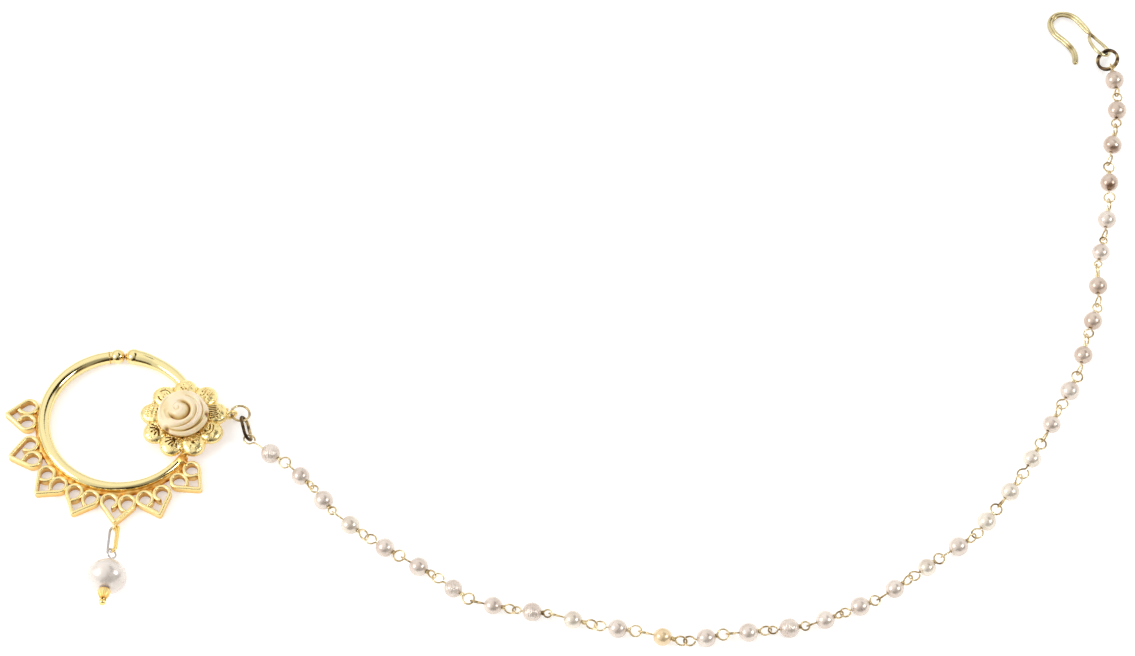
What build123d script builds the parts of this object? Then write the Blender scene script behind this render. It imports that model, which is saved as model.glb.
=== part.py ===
"""Nath: a bridal nose ring with scroll hearts, a rose in a petalled setting, a drop and a hair chain.

It lies on the plane z = 0. The origin is the middle of the hoop, +X runs towards the hair hook and
+Z is up, out of the front of the jewel. All lengths are in millimetres and all angles in degrees.
"""

from build123d import *
from collections import namedtuple
from math import asin, atan2, cos, degrees, hypot, radians, sin
import os

# Hoop: a slightly oval ring of tapering round wire, open at the top between two balls
hoop_long_radius = 11.7
hoop_short_radius = 11.35
hoop_lean = 150
hoop_height = 1.05
hoop_step = 12
Station = namedtuple("Station", "angle wire_radius")
Ball = namedtuple("Ball", "angle radius")
Heart = namedtuple("Heart", "angle tip_radius turn")
Bead = namedtuple("Bead", "length heading radius")
Lie = namedtuple("Lie", "place heading pitch roll")
HOOP_TAPER = [
    Station(96, 0.90),
    Station(110, 1.00),
    Station(130, 1.05),
    Station(185, 1.03),
    Station(240, 0.88),
    Station(280, 0.76),
    Station(325, 0.66),
    Station(375, 0.72),
    Station(402, 0.90),
    Station(443, 1.06),
]
END_BALLS = [Ball(96.0, 1.12), Ball(83.4, 1.26)]
collar_angle = 102.2
collar_radius = 1.05
collar_width = 0.45

# Hearts: bent from flat strip, tips outwards, on a rail of solder along the outside of the hoop
HEARTS = [
    Heart(175.8, 17.7, 1),
    Heart(200.4, 17.8, -7),
    Heart(226.4, 17.6, -1),
    Heart(248.7, 17.4, -2),
    Heart(270.7, 17.7, -6),
    Heart(293.3, 17.9, -3),
    Heart(317.6, 17.7, -1),
]
heart_length = 4.9
lobe_radius = 1.16
lobe_overlap = 0.03
curl_reach = 1.85
curl_spread = 1.02
strip_width = 0.46
strip_depth = 1.4
rail_radius = 0.5
rail_height = 0.75
rail_ring_radius = 12.5
rail_start = 172
rail_sweep = 150

# Rosette: a ring of domed petals on a plate, soldered over the right arm of the hoop
rosette_x = 9.85
rosette_y = 0.0
rosette_petals = 9
petal_ring_radius = 5.15
petal_radius = 1.6
petal_centre_height = 1.7
plate_radius = 5.6
plate_bottom = 1.45
plate_thickness = 0.9
petal_bottom = 1.55
solder_angle = 325
solder_radius = 0.95
solder_reach = 0.3

# Rose: one carved stone, its belly over the petals
rose_foot_radius = 3.55
rose_foot_height = 0.75
rose_belly_radius = 4.1
rose_belly_height = 1.6
rose_height = 3.3
rose_shoulder = (2.95, 2.64)
rose_eye_radius = 0.5
fit_gap = 0.05

# Rings, links and eyes: each one's middle, the heading and pitch of its length, and its roll about it
CHAIN_EYE = Lie((16.9, 1.0, 1.3), 20, 0, 90)
chain_eye_radius = 0.78
chain_eye_wire = 0.28
CHAIN_RING = Lie((18.34, 1.4, 1.06), 20, -10.5, 2.1)
chain_ring_radius = 1.4
chain_ring_wire = 0.19
CHAIN_LINK = Lie((19.34, -1.35, 1.2), -75.7, 7.1, 60.2)
chain_link_straight = 2.5
chain_link_bend = 0.87
chain_link_wire = 0.25
DROP_EYE = Lie((0.25, -18.05, 0.83), -92, 0, 90)
drop_loop_radius = 0.55
drop_loop_wire = 0.22
DROP_RING = Lie((0.22, -20.51, 1.43), -90.6, 13.7, -23.8)
drop_ring_straight = 3.56
drop_ring_bend = 0.75
drop_ring_wire = 0.2
END_RING = Lie((155.27, 66.74, 1.44), 93.9, 5.2, 25.5)
end_ring_radius = 1.65
end_ring_wire = 0.24
end_ring_spacing = 0.36

# Drop: a pearl and a bead on a head pin, whose eye hangs in the drop's ring
DROP_PEARL = Lie((-0.1, -27.55, 2.99), -94, 12, 0)
drop_pearl_radius = 3.0
drop_pearl_half_length = 2.5
drop_wire_radius = 0.16
drop_stem_radius = 0.14
drop_pin_eye_radius = 0.78
drop_pin_eye_reach = 4.35
drop_pin_eye_roll = 39
drop_bead_radius = 0.96
drop_bead_reach = 3.5
drop_head_radius = 0.6
drop_head_reach = 5.12

# Hair chain, one row per pearl: the length and heading of its wire, and the pearl's radius
CHAIN = [
    Bead(6.85, -36, 1.50),
    Bead(5.40, -45, 1.40),
    Bead(5.50, -53, 1.50),
    Bead(6.60, -39, 1.45),
    Bead(6.45, -33, 1.45),
    Bead(5.70, -32, 1.45),
    Bead(7.00, -37, 1.40),
    Bead(6.45, -13, 1.40),
    Bead(5.40, -7, 1.45),
    Bead(7.00, -16, 1.40),
    Bead(6.60, -9, 1.45),
    Bead(6.90, -14, 1.40),
    Bead(6.35, 12, 1.45),
    Bead(6.35, 5, 1.45),
    Bead(5.75, 8, 1.50),
    Bead(5.40, 21, 1.40),
    Bead(6.00, 24, 1.45),
    Bead(6.15, 35, 1.40),
    Bead(6.00, 37, 1.35),
    Bead(6.10, 34, 1.50),
    Bead(6.40, 53, 1.45),
    Bead(6.25, 54, 1.40),
    Bead(7.25, 60, 1.40),
    Bead(6.60, 62, 1.40),
    Bead(6.80, 62, 1.50),
    Bead(6.90, 75, 1.45),
    Bead(5.95, 70, 1.45),
    Bead(7.15, 87, 1.45),
    Bead(5.25, 75, 1.40),
    Bead(7.15, 79, 1.45),
    Bead(7.00, 87, 1.45),
    Bead(7.40, 77, 1.50),
    Bead(6.10, 84, 1.50),
    Bead(5.65, 96, 1.50),
]
chain_start = (19.41, -3.04)
first_lead = 1.3
chain_height = 1.5
chain_wire_radius = 0.14
chain_stem_radius = 0.12
pearl_bore_radius = 0.2
eye_gap = 0.14
stem_least = 0.12
eye_most = 0.85
wrap_radius = 0.3
flat_tilt = 10
upright_tilt = -68

# Hair hook: its bend is drawn from the neck, in a plane that sinks towards the tip
HOOK_EYE = Lie((152.91, 71.98, 1.11), -63.7, 4, 44.3)
hook_eye_length = 3.5
hook_eye_bend = 1.36
hook_wire_radius = 0.29
hook_spread = 0.27
hook_slope_x = 0.139
hook_slope_y = 0.071
hook_shoulder = (-1.75, 2.65)
hook_crown = (-4.3, 4.25)
hook_turn = (-6.45, 1.9)
hook_back = (-5.4, -0.15)
hook_arm = (-3.3, -2.9)
hook_tip = (-2.85, -5.15)


def along(heading, pitch=0.0):
    """The unit vector at this heading in plan, rising by pitch."""
    flat = cos(radians(pitch))
    return Vector(flat * cos(radians(heading)), flat * sin(radians(heading)), sin(radians(pitch)))


def facing(place, ahead, roll=0.0):
    """The plane of a ring or a bead: x ahead and y level, then rolled about x."""
    side = Vector(0, 0, 1).cross(ahead).normalized()
    normal = ahead.cross(side) * cos(radians(roll)) + side * sin(radians(roll))
    return Plane(origin=Vector(*place), x_dir=ahead, z_dir=normal)


def lying(place, heading, pitch=0.0, roll=0.0):
    """The same plane, its x given by heading and pitch."""
    return facing(place, along(heading, pitch), roll)


def hoop_point(angle, outward=0.0):
    """A point of the hoop's centre line at this bearing from the origin, or outward of it."""
    lean = radians(angle - hoop_lean)
    across = hypot(cos(lean) / hoop_long_radius, sin(lean) / hoop_short_radius)
    reach = 1 / across + outward
    return Vector(reach * cos(radians(angle)), reach * sin(radians(angle)), hoop_height)


def hoop_ahead(angle):
    """The direction in which the hoop runs at this bearing."""
    return hoop_point(angle + 1) - hoop_point(angle - 1)


def hoop_wire_radius(angle):
    """The hoop wire's radius at this bearing, straight between the stations of its taper."""
    for low, high in zip(HOOP_TAPER, HOOP_TAPER[1:]):
        if angle <= high.angle:
            share = (angle - low.angle) / (high.angle - low.angle)
            return low.wire_radius + share * (high.wire_radius - low.wire_radius)
    return HOOP_TAPER[-1].wire_radius


def hoop_wire():
    """The tapering round wire of the hoop, from the left ball round to the right one."""
    first, last = HOOP_TAPER[0].angle, HOOP_TAPER[-1].angle
    count = round((last - first) / hoop_step)
    with BuildPart() as wire:
        for index in range(count + 1):
            angle = first + (last - first) * index / count
            with BuildSketch(Plane(origin=hoop_point(angle), x_dir=(0, 0, 1), z_dir=hoop_ahead(angle))):
                Circle(hoop_wire_radius(angle))
        loft()
    return wire.part


def heart_outline(plane):
    """The strip of one heart seen from the front: its tip at the origin, its lobes towards +x."""
    half_strip = strip_width / 2
    tip = 1.3 * half_strip
    lobe_x = heart_length - half_strip - lobe_radius
    lobe_y = half_strip + lobe_radius - lobe_overlap
    reach = hypot(lobe_x - tip, lobe_y)
    flank_angle = degrees(atan2(lobe_y, lobe_x - tip) + asin(lobe_radius / reach))
    lobe_angles = (flank_angle + 90, flank_angle / 2, -90)
    curl_end = (curl_reach, half_strip + curl_spread)
    with BuildSketch(plane) as outline:
        with BuildLine() as bend:
            lobe_middle = Vector(lobe_x, lobe_y)
            lobe_points = [lobe_middle + along(turned) * lobe_radius for turned in lobe_angles]
            lobe = ThreePointArc(*lobe_points)
            Line((tip, 0), lobe @ 0)
        trace(bend.line, line_width=strip_width)
        with BuildLine() as curl:
            TangentArc(lobe @ 1, curl_end, tangent=lobe % 1)
        trace(curl.line, line_width=strip_width)
        with Locations((tip, 0)):
            Circle(half_strip)
        mirror(about=Plane.XZ)
    return outline.sketch


def link(plane, straight, bend_radius, wire_radius):
    """An oval link of round wire: two half circles joined by straight sides."""
    half = straight / 2
    with BuildPart() as ring:
        with BuildLine(plane) as loop:
            Line((-half, bend_radius), (half, bend_radius))
            ThreePointArc((half, bend_radius), (half + bend_radius, 0), (half, -bend_radius))
            Line((half, -bend_radius), (-half, -bend_radius))
            ThreePointArc((-half, -bend_radius), (-half - bend_radius, 0), (-half, bend_radius))
        with BuildSketch(Plane(origin=loop.line @ 0, x_dir=plane.z_dir, z_dir=loop.line % 0)):
            Circle(wire_radius)
        sweep(path=loop.line)
    return ring.part


def on_axis(plane, reach):
    """The plane moved along its own x."""
    return Plane(origin=plane.from_local_coords(Vector(reach, 0, 0)), x_dir=plane.x_dir, z_dir=plane.z_dir)


def eye(plane, radius, wire_radius):
    """A closed round ring of wire in the plane."""
    with BuildPart() as turn:
        with Locations(Plane(origin=plane.origin, x_dir=plane.y_dir, z_dir=plane.z_dir).location):
            Torus(radius, wire_radius)
    return turn.part


def rod(start, end, radius):
    """A straight round rod from one point to another."""
    with BuildPart() as stem:
        with BuildSketch(Plane(origin=start, z_dir=end - start)):
            Circle(radius)
        extrude(amount=(end - start).length)
    return stem.part


def teardrop(plane):
    """The hook's eye: two straight flanks from the neck to a round bend."""
    flank_angle = degrees(asin(hook_eye_bend / hook_eye_length))
    with BuildPart() as loop:
        with BuildLine(plane) as half:
            bend = CenterArc((hook_eye_length, 0), hook_eye_bend, flank_angle + 90, -flank_angle - 90)
            Line((0, 0), bend @ 0)
        with BuildSketch(Plane(origin=plane.origin, x_dir=plane.z_dir, z_dir=half.line % 0)):
            Circle(hook_wire_radius)
        sweep(path=half.line)
        mirror(about=Plane(origin=plane.origin, x_dir=plane.x_dir, z_dir=plane.y_dir))
    return loop.part


def drilled(plane, half_length, radius, bore_radius):
    """A pearl or bead turned about its bore, which runs along the plane's x."""
    with BuildPart() as bead:
        with BuildSketch(plane):
            Ellipse(half_length, radius)
            with Locations((0, bore_radius - 2 * radius)):
                Rectangle(4 * half_length, 4 * radius, mode=Mode.SUBTRACT)
        revolve(axis=Axis(plane.origin, plane.x_dir))
    return bead.part


def pearl_wire(plane, halves, pearl_radius, tilts):
    """The straight wire through a pearl, wrapped on one side, with an eye at each end."""
    stem_ends = []
    with BuildPart() as wire:
        for side, half, tilt in zip((-1, 1), halves, tilts):
            reach = half + chain_wire_radius + eye_gap / 2
            eye_radius = min(eye_most, (half + eye_gap / 2 - pearl_radius - stem_least) / 2)
            eye_centre = on_axis(plane, side * (reach - eye_radius)).origin
            stem_ends.append(on_axis(plane, side * (reach - 2 * eye_radius)).origin)
            add(eye(facing(eye_centre, plane.x_dir, tilt), eye_radius, chain_wire_radius))
        add(rod(*stem_ends, chain_stem_radius))
        add(rod(on_axis(plane, pearl_radius + fit_gap).origin, stem_ends[1], wrap_radius))
    return wire.part


# Rosette: the plate and its petals, flat behind
with BuildPart() as rosette:
    with Locations((rosette_x, rosette_y, petal_centre_height)):
        with PolarLocations(petal_ring_radius, rosette_petals, start_angle=90):
            Sphere(petal_radius)
    split(bisect_by=Plane.XY.offset(petal_bottom), keep=Keep.TOP)
    with BuildSketch(Plane.XY.offset(plate_bottom)):
        with Locations((rosette_x, rosette_y)):
            Circle(plate_radius)
    extrude(amount=plate_thickness)

# Frame: everything gold that is soldered together
with BuildPart() as nath_frame:
    add(hoop_wire())
    for ball in END_BALLS:
        place = hoop_point(ball.angle)
        ball_plane = Plane(origin=(place.X, place.Y, ball.radius), z_dir=hoop_ahead(ball.angle))
        with Locations(ball_plane.location):
            Sphere(ball.radius)
    collar_plane = Plane(
        origin=hoop_point(collar_angle), x_dir=(0, 0, 1), z_dir=hoop_ahead(collar_angle)
    )
    with BuildSketch(collar_plane.offset(-collar_width / 2)):
        Circle(collar_radius)
    extrude(amount=collar_width)

    with BuildLine(Plane.XY.offset(rail_height)) as rail:
        CenterArc((0, 0), rail_ring_radius, rail_start, rail_sweep)
    with BuildSketch(Plane(origin=rail.line @ 0, z_dir=rail.line % 0)):
        Circle(rail_radius)
    sweep(path=rail.line)
    for heart in HEARTS:
        tip = along(heart.angle) * heart.tip_radius
        extrude(heart_outline(lying(tip, heart.angle + 180 + heart.turn)), amount=strip_depth)

    add(rosette.part)
    with Locations(hoop_point(solder_angle, solder_reach)):
        Sphere(solder_radius)

    # The eyes that carry the chain and the drop
    add(eye(lying(*CHAIN_EYE), chain_eye_radius, chain_eye_wire))
    add(eye(lying(*DROP_EYE), drop_loop_radius, drop_loop_wire))
nath_frame.part.label = "nath_frame"

# Rose: a foot inside the petals, a belly above them and a domed face
rose_bottom = plate_bottom + plate_thickness + fit_gap
with BuildPart() as carved_rose:
    with BuildSketch(Plane(origin=(rosette_x, rosette_y, rose_bottom), x_dir=(1, 0, 0), z_dir=(0, -1, 0))):
        with BuildLine():
            base = Polyline((0, 0), (rose_foot_radius, 0), (rose_foot_radius, rose_foot_height))
            flare = Line(base @ 1, (rose_belly_radius, rose_belly_height))
            dome = ThreePointArc(flare @ 1, rose_shoulder, (rose_eye_radius, rose_height))
            Polyline(dome @ 1, (0, rose_height), (0, 0))
        make_face()
    revolve(axis=Axis((rosette_x, rosette_y, 0), (0, 0, 1)))
carved_rose.part.label = "carved_rose"

# Drop: an oval ring from the heart's eye, a head pin, the pearl and its gold bead
drop_axis = lying(*DROP_PEARL)
drop_bore = drop_wire_radius + fit_gap
with BuildPart() as drop_ring:
    add(link(lying(*DROP_RING), drop_ring_straight, drop_ring_bend, drop_ring_wire))
drop_ring.part.label = "drop_ring"

with BuildPart() as drop_pearl:
    add(drilled(drop_axis, drop_pearl_half_length, drop_pearl_radius, drop_bore))
drop_pearl.part.label = "drop_pearl"

with BuildPart() as drop_bead:
    add(drilled(on_axis(drop_axis, drop_bead_reach), drop_bead_radius, drop_bead_radius, drop_bore))
drop_bead.part.label = "drop_bead"

with BuildPart() as drop_pin:
    pin_eye = facing(on_axis(drop_axis, -drop_pin_eye_reach).origin, drop_axis.x_dir, drop_pin_eye_roll)
    pin_start = on_axis(pin_eye, drop_pin_eye_radius).origin
    pin_end = on_axis(drop_axis, drop_head_reach).origin
    add(eye(pin_eye, drop_pin_eye_radius, drop_wire_radius))
    add(rod(pin_start, pin_end, drop_stem_radius))
    with Locations(pin_end):
        Sphere(drop_head_radius)
drop_pin.part.label = "drop_pin"

# Chain start: a round ring in the rosette's eye and an oval link that takes the first pearl
with BuildPart() as chain_ring:
    add(eye(lying(*CHAIN_RING), chain_ring_radius, chain_ring_wire))
chain_ring.part.label = "chain_ring"

with BuildPart() as chain_link:
    add(link(lying(*CHAIN_LINK), chain_link_straight, chain_link_bend, chain_link_wire))
chain_link.part.label = "chain_link"

# Hair chain: each pearl lies in the middle of its own wire, and the wires meet eye in eye
pearls = []
wires = []
here = Vector(*chain_start, chain_height)
for index, bead in enumerate(CHAIN):
    ahead = along(bead.heading)
    half = bead.length / 2
    lead = half if index else half + first_lead
    wire_plane = facing(here + ahead * lead, ahead)
    with BuildPart() as pearl:
        add(drilled(wire_plane, bead.radius, bead.radius, pearl_bore_radius))
    pearl.part.label = f"pearl_{index + 1:02d}"
    pearls.append(pearl)
    tilt = (upright_tilt if index % 2 else flat_tilt) * (-1) ** index
    wires.append(pearl_wire(wire_plane, (lead, half), bead.radius, (tilt, -tilt)))
    here = here + ahead * (lead + half)

with BuildPart() as chain_wires_odd:
    add(wires[0::2])
chain_wires_odd.part.label = "chain_wires_odd"

with BuildPart() as chain_wires_even:
    add(wires[1::2])
chain_wires_even.part.label = "chain_wires_even"

# End ring: two turns of round wire, one on the other
with BuildPart() as end_ring:
    ring_plane = lying(*END_RING)
    for side in (-1, 1):
        add(eye(ring_plane.offset(side * end_ring_spacing / 2), end_ring_radius, end_ring_wire))
end_ring.part.label = "end_ring"

# Hair hook: one wire folded double, its two ends opened into a drop-shaped eye
hook_eye_plane = lying(*HOOK_EYE)
hook_neck = hook_eye_plane.origin
hook_plane = Plane(
    origin=hook_neck, x_dir=(1, 0, hook_slope_x), z_dir=(-hook_slope_x, -hook_slope_y, 1)
)
with BuildPart() as hair_hook:
    with BuildLine(hook_plane) as bend:
        shank = Line((0, 0), hook_shoulder)
        crown = TangentArc(shank @ 1, hook_crown, tangent=shank % 1)
        turn = TangentArc(crown @ 1, hook_turn, tangent=crown % 1)
        back = TangentArc(turn @ 1, hook_back, tangent=turn % 1)
        arm = TangentArc(back @ 1, hook_arm, tangent=back % 1)
        TangentArc(arm @ 1, hook_tip, tangent=arm % 1)
    with BuildSketch(Plane(origin=hook_neck, x_dir=hook_plane.z_dir, z_dir=bend.line % 0)):
        with Locations((0, hook_spread), (0, -hook_spread)):
            Circle(hook_wire_radius)
    sweep(path=bend.line)
    add(teardrop(hook_eye_plane))
hair_hook.part.label = "hair_hook"

pieces = [nath_frame, carved_rose, drop_ring, drop_pearl, drop_bead, drop_pin, chain_ring, chain_link]
pieces += [chain_wires_odd, chain_wires_even, end_ring, hair_hook]
os.makedirs("parts", exist_ok=True)
for piece in pieces + pearls:
    export_step(piece.part, f"parts/{piece.part.label}.step")
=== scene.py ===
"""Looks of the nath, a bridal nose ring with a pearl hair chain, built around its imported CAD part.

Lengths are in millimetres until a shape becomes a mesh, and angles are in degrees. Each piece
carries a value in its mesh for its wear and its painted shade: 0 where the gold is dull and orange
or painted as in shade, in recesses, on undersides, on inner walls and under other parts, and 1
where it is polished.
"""

import math
from collections import namedtuple
from functools import reduce

import bpy
import numpy as np
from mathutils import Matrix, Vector


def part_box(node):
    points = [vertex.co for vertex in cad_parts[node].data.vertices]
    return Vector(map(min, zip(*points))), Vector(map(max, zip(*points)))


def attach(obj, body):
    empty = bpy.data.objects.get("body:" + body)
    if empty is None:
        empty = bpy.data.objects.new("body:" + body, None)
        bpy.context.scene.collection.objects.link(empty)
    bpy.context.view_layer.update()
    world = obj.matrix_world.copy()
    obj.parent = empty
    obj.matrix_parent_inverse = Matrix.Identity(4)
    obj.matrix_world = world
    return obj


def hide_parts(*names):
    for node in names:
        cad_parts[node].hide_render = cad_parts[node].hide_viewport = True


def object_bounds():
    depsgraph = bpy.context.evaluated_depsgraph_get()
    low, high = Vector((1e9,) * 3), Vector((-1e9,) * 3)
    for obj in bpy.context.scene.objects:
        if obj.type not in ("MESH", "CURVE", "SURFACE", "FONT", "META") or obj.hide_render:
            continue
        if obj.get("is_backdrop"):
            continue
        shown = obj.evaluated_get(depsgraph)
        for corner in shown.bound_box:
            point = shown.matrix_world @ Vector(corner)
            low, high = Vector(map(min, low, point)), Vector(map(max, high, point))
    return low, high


MM = 0.001

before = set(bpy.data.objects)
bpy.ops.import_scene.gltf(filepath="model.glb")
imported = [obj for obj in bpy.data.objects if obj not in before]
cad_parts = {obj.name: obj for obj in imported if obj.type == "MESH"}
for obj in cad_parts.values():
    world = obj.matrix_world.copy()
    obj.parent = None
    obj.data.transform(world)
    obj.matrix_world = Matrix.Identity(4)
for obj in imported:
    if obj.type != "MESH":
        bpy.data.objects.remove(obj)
cad_low, cad_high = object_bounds()

# ---- Sizes, in the CAD part's own frame: they follow its shapes, and add what it leaves plain ----
Station = namedtuple("Station", "angle wire_radius")
EndBall = namedtuple("EndBall", "side angle radius polish")
Heart = namedtuple("Heart", "angle tip_radius turn left_curl right_curl")
Curl = namedtuple("Curl", "radius reach")
Lie = namedtuple("Lie", "place heading pitch roll")
Fold = namedtuple("Fold", "x y start_radius end_radius start sweep width depth")
Notch = namedtuple("Notch", "x y width depth")
Stroke = namedtuple("Stroke", "x0 y0 x1 y1 width depth")
Stain = namedtuple("Stain", "spot radius depth")
Patch = namedtuple("Patch", "way inner outer factor")
LightBox = namedtuple("LightBox", "name offset size power")

HOOP_LONG, HOOP_SHORT, HOOP_LEAN, HOOP_HEIGHT, HOOP_MIDDLE = 11.7, 11.35, 150, 1.05, 11.6
HOOP_TAPER = [
    Station(96, 0.90),
    Station(110, 1.00),
    Station(130, 1.05),
    Station(185, 1.03),
    Station(240, 0.88),
    Station(280, 0.76),
    Station(325, 0.66),
    Station(375, 0.72),
    Station(402, 0.90),
    Station(443, 1.06),
]
END_BALLS = [EndBall("left", 94.8, 1.14, 1.25), EndBall("right", 82.1, 1.26, 1.2)]
COLLAR_ANGLE, COLLAR_RADIUS, COLLAR_WIRE = 100.9, 0.8649, 0.12
FLARE_START, FLARE_END, FLARE_RADIUS = 419.0, 440.0, 1.21
IN_FRAME = ("gold", "nath_frame")

CLOSED, TIGHT, OPEN, LONG = Curl(1.55, 1.0), Curl(1.30, 1.0), Curl(1.35, 0.66), Curl(2.5, 0.93)
HEARTS = [
    Heart(175.8, 17.7, 1, LONG, CLOSED),
    Heart(200.4, 17.8, -7, OPEN, CLOSED),
    Heart(226.4, 17.6, -1, TIGHT, CLOSED),
    Heart(248.7, 17.4, -2, CLOSED, CLOSED),
    Heart(270.7, 17.7, -6, OPEN, CLOSED),
    Heart(293.3, 17.9, -3, TIGHT, OPEN),
    Heart(317.6, 17.7, -1, CLOSED, TIGHT),
]
HEART_LENGTH, LOBE_RADIUS, LOBE_OVERLAP = 5.05, 1.16, 0.03
STRIP_WIDTH, STRIP_FACE, STRIP_DEPTH = 0.46, 0.55, 1.4
RAIL_RADIUS, RAIL_HEIGHT, RAIL_RING = 0.5, 0.75, 12.5
RAIL_START, RAIL_END, RAIL_STEPS = 172, 322, 260
CLEFT_DROPS = [(HEART_LENGTH - 0.45, 0.0), (HEART_LENGTH - 0.12, 1.1), (HEART_LENGTH - 0.12, -1.1)]
CLEFT_DROP_RADII, CLEFT_DROP_HEIGHT = (0.5, 0.36, 0.36), RAIL_HEIGHT - 0.12
ROSETTE = np.array((9.85, 0.0))
PLATE_RADIUS, PLATE_BOTTOM, PLATE_THICKNESS = 5.6, 1.45, 0.9
PLATE_PROFILE = [
    (0, 0.05), (0, PLATE_RADIUS - 0.3), (0.1, PLATE_RADIUS - 0.06), (0.3, PLATE_RADIUS),
    (0.6, PLATE_RADIUS), (0.82, PLATE_RADIUS - 0.08), (PLATE_THICKNESS, PLATE_RADIUS - 0.3),
    (PLATE_THICKNESS, 4.4), (0.82, 4.0), (0.82, 0.05),
]
GRAIN_STEP, GRAIN_RING, GRAIN_HEIGHT = 7.5, 3.93, 2.42
GAP_GRAIN_TURN, GAP_GRAIN_RING, GAP_GRAIN_HEIGHT, GAP_GRAIN_RADIUS = 20, 5.35, 2.12, 0.34
EYE_GRAINS, EYE_GRAIN_RADIUS = [(8, 6.6, 2.1), (14, 6.7, 1.9), (3, 6.65, 1.95)], 0.24
SOLDER_ANGLE, SOLDER_RADIUS = 325, 0.95
CHAIN_EYE = Lie((16.9, 1.0, 1.3), 20, 0, 90)
CHAIN_EYE_RADIUS, CHAIN_EYE_WIRE = 0.78, 0.28
BARREL_REACH, BARREL_GRAIN_ROWS, BARREL_GRAIN_RING, BARREL_GRAIN = -1.35, (-0.28, 0.28), 0.60, 0.15
BARREL_PROFILE = [
    (-0.55, 0.3), (-0.5, 0.5), (-0.3, 0.62), (0, 0.68), (0.3, 0.6), (0.5, 0.45), (0.55, 0.2),
]
DROP_EYE = Lie((0.25, -18.05, 0.83), -92, 0, 90)
DROP_EYE_RADIUS, DROP_EYE_WIRE = 0.55, 0.22
CHAIN_RING = Lie((18.34, 1.4, 1.06), 20, -10.5, 2.1)
CHAIN_RING_RADIUS, CHAIN_RING_WIRE = 1.4, 0.19
CHAIN_LINK = Lie((19.34, -1.35, 1.2), -75.7, 7.1, 60.2)
CHAIN_LINK_STRAIGHT, CHAIN_LINK_BEND, CHAIN_LINK_WIRE = 2.5, 0.87, 0.25
DROP_RING = Lie((0.22, -20.51, 1.43), -90.6, 13.7, -23.8)
DROP_RING_STRAIGHT, DROP_RING_BEND, DROP_RING_WIRE = 3.56, 0.75, 0.2
DROP = Lie((-0.1, -27.55, 2.99), -94, 12, 0)
DROP_RADIUS, DROP_HALF_LENGTH, DROP_BORE = 3.0, 2.5, 0.21
PIN_WIRE, PIN_EYE_RADIUS, PIN_EYE_REACH, PIN_EYE_ROLL = 0.16, 0.78, 4.35, 39
BEAD_REACH, HEAD_RADIUS, HEAD_REACH = 3.5, 0.53, 5.0
BEAD_PROFILE = [
    (-0.62, 0.26), (-0.82, 0.46), (-0.88, 0.72), (-0.76, 0.93), (-0.46, 1.0), (-0.10, 0.92),
    (0.26, 0.76), (0.58, 0.58), (0.82, 0.44), (0.94, 0.32), (0.90, 0.24), (0.6, 0.21),
    (0.0, 0.21), (-0.4, 0.21),
]
END_RING = Lie((155.27, 66.74, 1.44), 93.9, 5.2, 25.5)
END_RING_RADIUS, END_RING_WIRE, END_RING_SPACING = 1.65, 0.24, 0.36
HOOK_EYE = Lie((152.91, 71.98, 1.11), -63.7, 4, 44.3)
HOOK_EYE_LENGTH, HOOK_EYE_BEND, HOOK_EYE_LAY = 3.5, 1.36, 14
HOOK_WIRE, HOOK_SPREAD, NECK_LIFT = 0.28, 0.235, 0.24
HOOK_FULL_FLANK, HOOK_LEAN_FLANK = ((0.15, -0.1), (0.7, -1.3)), ((1.1, 0.5), (0.15, 0.1))
HOOK_SLOPE = (0.139, 0.071)
HOOK_SHANK = (-1.75, 2.65)
HOOK_BENDS = [(-4.3, 4.2), (-6.3, 1.9), (-5.1, -0.1), (-3.15, -2.6), (-2.85, -5.1)]
HOOK_STAINS = [
    Stain((0.1, -0.2), 0.8, 0.6),
    Stain((-3.35, -2.2), 0.55, 0.6),
    Stain((-4.1, 3.2), 1.2, 0.3),
    Stain((-2.85, -5.0), 0.9, 0.35),
]
CHAIN_WIRE, PEARL_BORE, PEARL_REST, PEARLS = 0.14, 0.2, 0.01, 34
WIRE_REACH, WRAP_TURNS, WRAP_RADIUS = 5.6, 2.6, 0.27


# ---- Directions, planes and paths ----
def clamped(values):
    """The values, kept from 0 to 1."""
    return np.clip(values, 0, 1)


def spatial(points):
    """Points as N by 3, flat ones at z = 0."""
    points = np.atleast_2d(points)
    return np.pad(points, ((0, 0), (0, 3 - points.shape[1])))


def unit(v):
    """The vector or vectors at length 1."""
    v = np.asarray(v, float)
    return v / np.linalg.norm(v, axis=-1, keepdims=True)


def along(heading, pitch=0.0):
    """The unit vector at this heading in plan, rising by pitch."""
    h, p = math.radians(heading), math.radians(pitch)
    return np.array((math.cos(p) * math.cos(h), math.cos(p) * math.sin(h), math.sin(p)))


class Plane:
    """A place with x ahead, y aside and z normal, as the CAD part lays its rings."""

    def __init__(self, origin, ahead, roll=0.0):
        ahead = unit(ahead)
        side = unit(np.cross((0, 0, 1), ahead))
        r = math.radians(roll)
        self.origin = np.array(origin, float)
        self.x = ahead
        self.z = np.cross(ahead, side) * math.cos(r) + side * math.sin(r)
        self.y = np.cross(self.z, self.x)

    def at(self, points):
        """Local points (N by 2 or 3) in the frame."""
        return self.origin + spatial(points) @ np.array((self.x, self.y, self.z))

    def moved(self, reach):
        """The same plane, moved along its own x."""
        other = Plane.__new__(Plane)
        other.origin = self.origin + self.x * reach
        other.x, other.y, other.z = self.x, self.y, self.z
        return other

    def ahead(self, points):
        """How far along x each point is."""
        return (points - self.origin) @ self.x

    def off_axis(self, points):
        """How far from x each point is."""
        return np.linalg.norm(np.cross(points - self.origin, self.x), axis=1)


def lying(lie):
    """The plane of a Lie row."""
    return Plane(lie.place, along(lie.heading, lie.pitch), lie.roll)


def arc(centre, radius, start, end, count):
    """Points of a flat arc."""
    turn = np.radians(np.linspace(start, end, count))
    return np.column_stack((centre[0] + radius * np.cos(turn), centre[1] + radius * np.sin(turn)))


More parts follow.
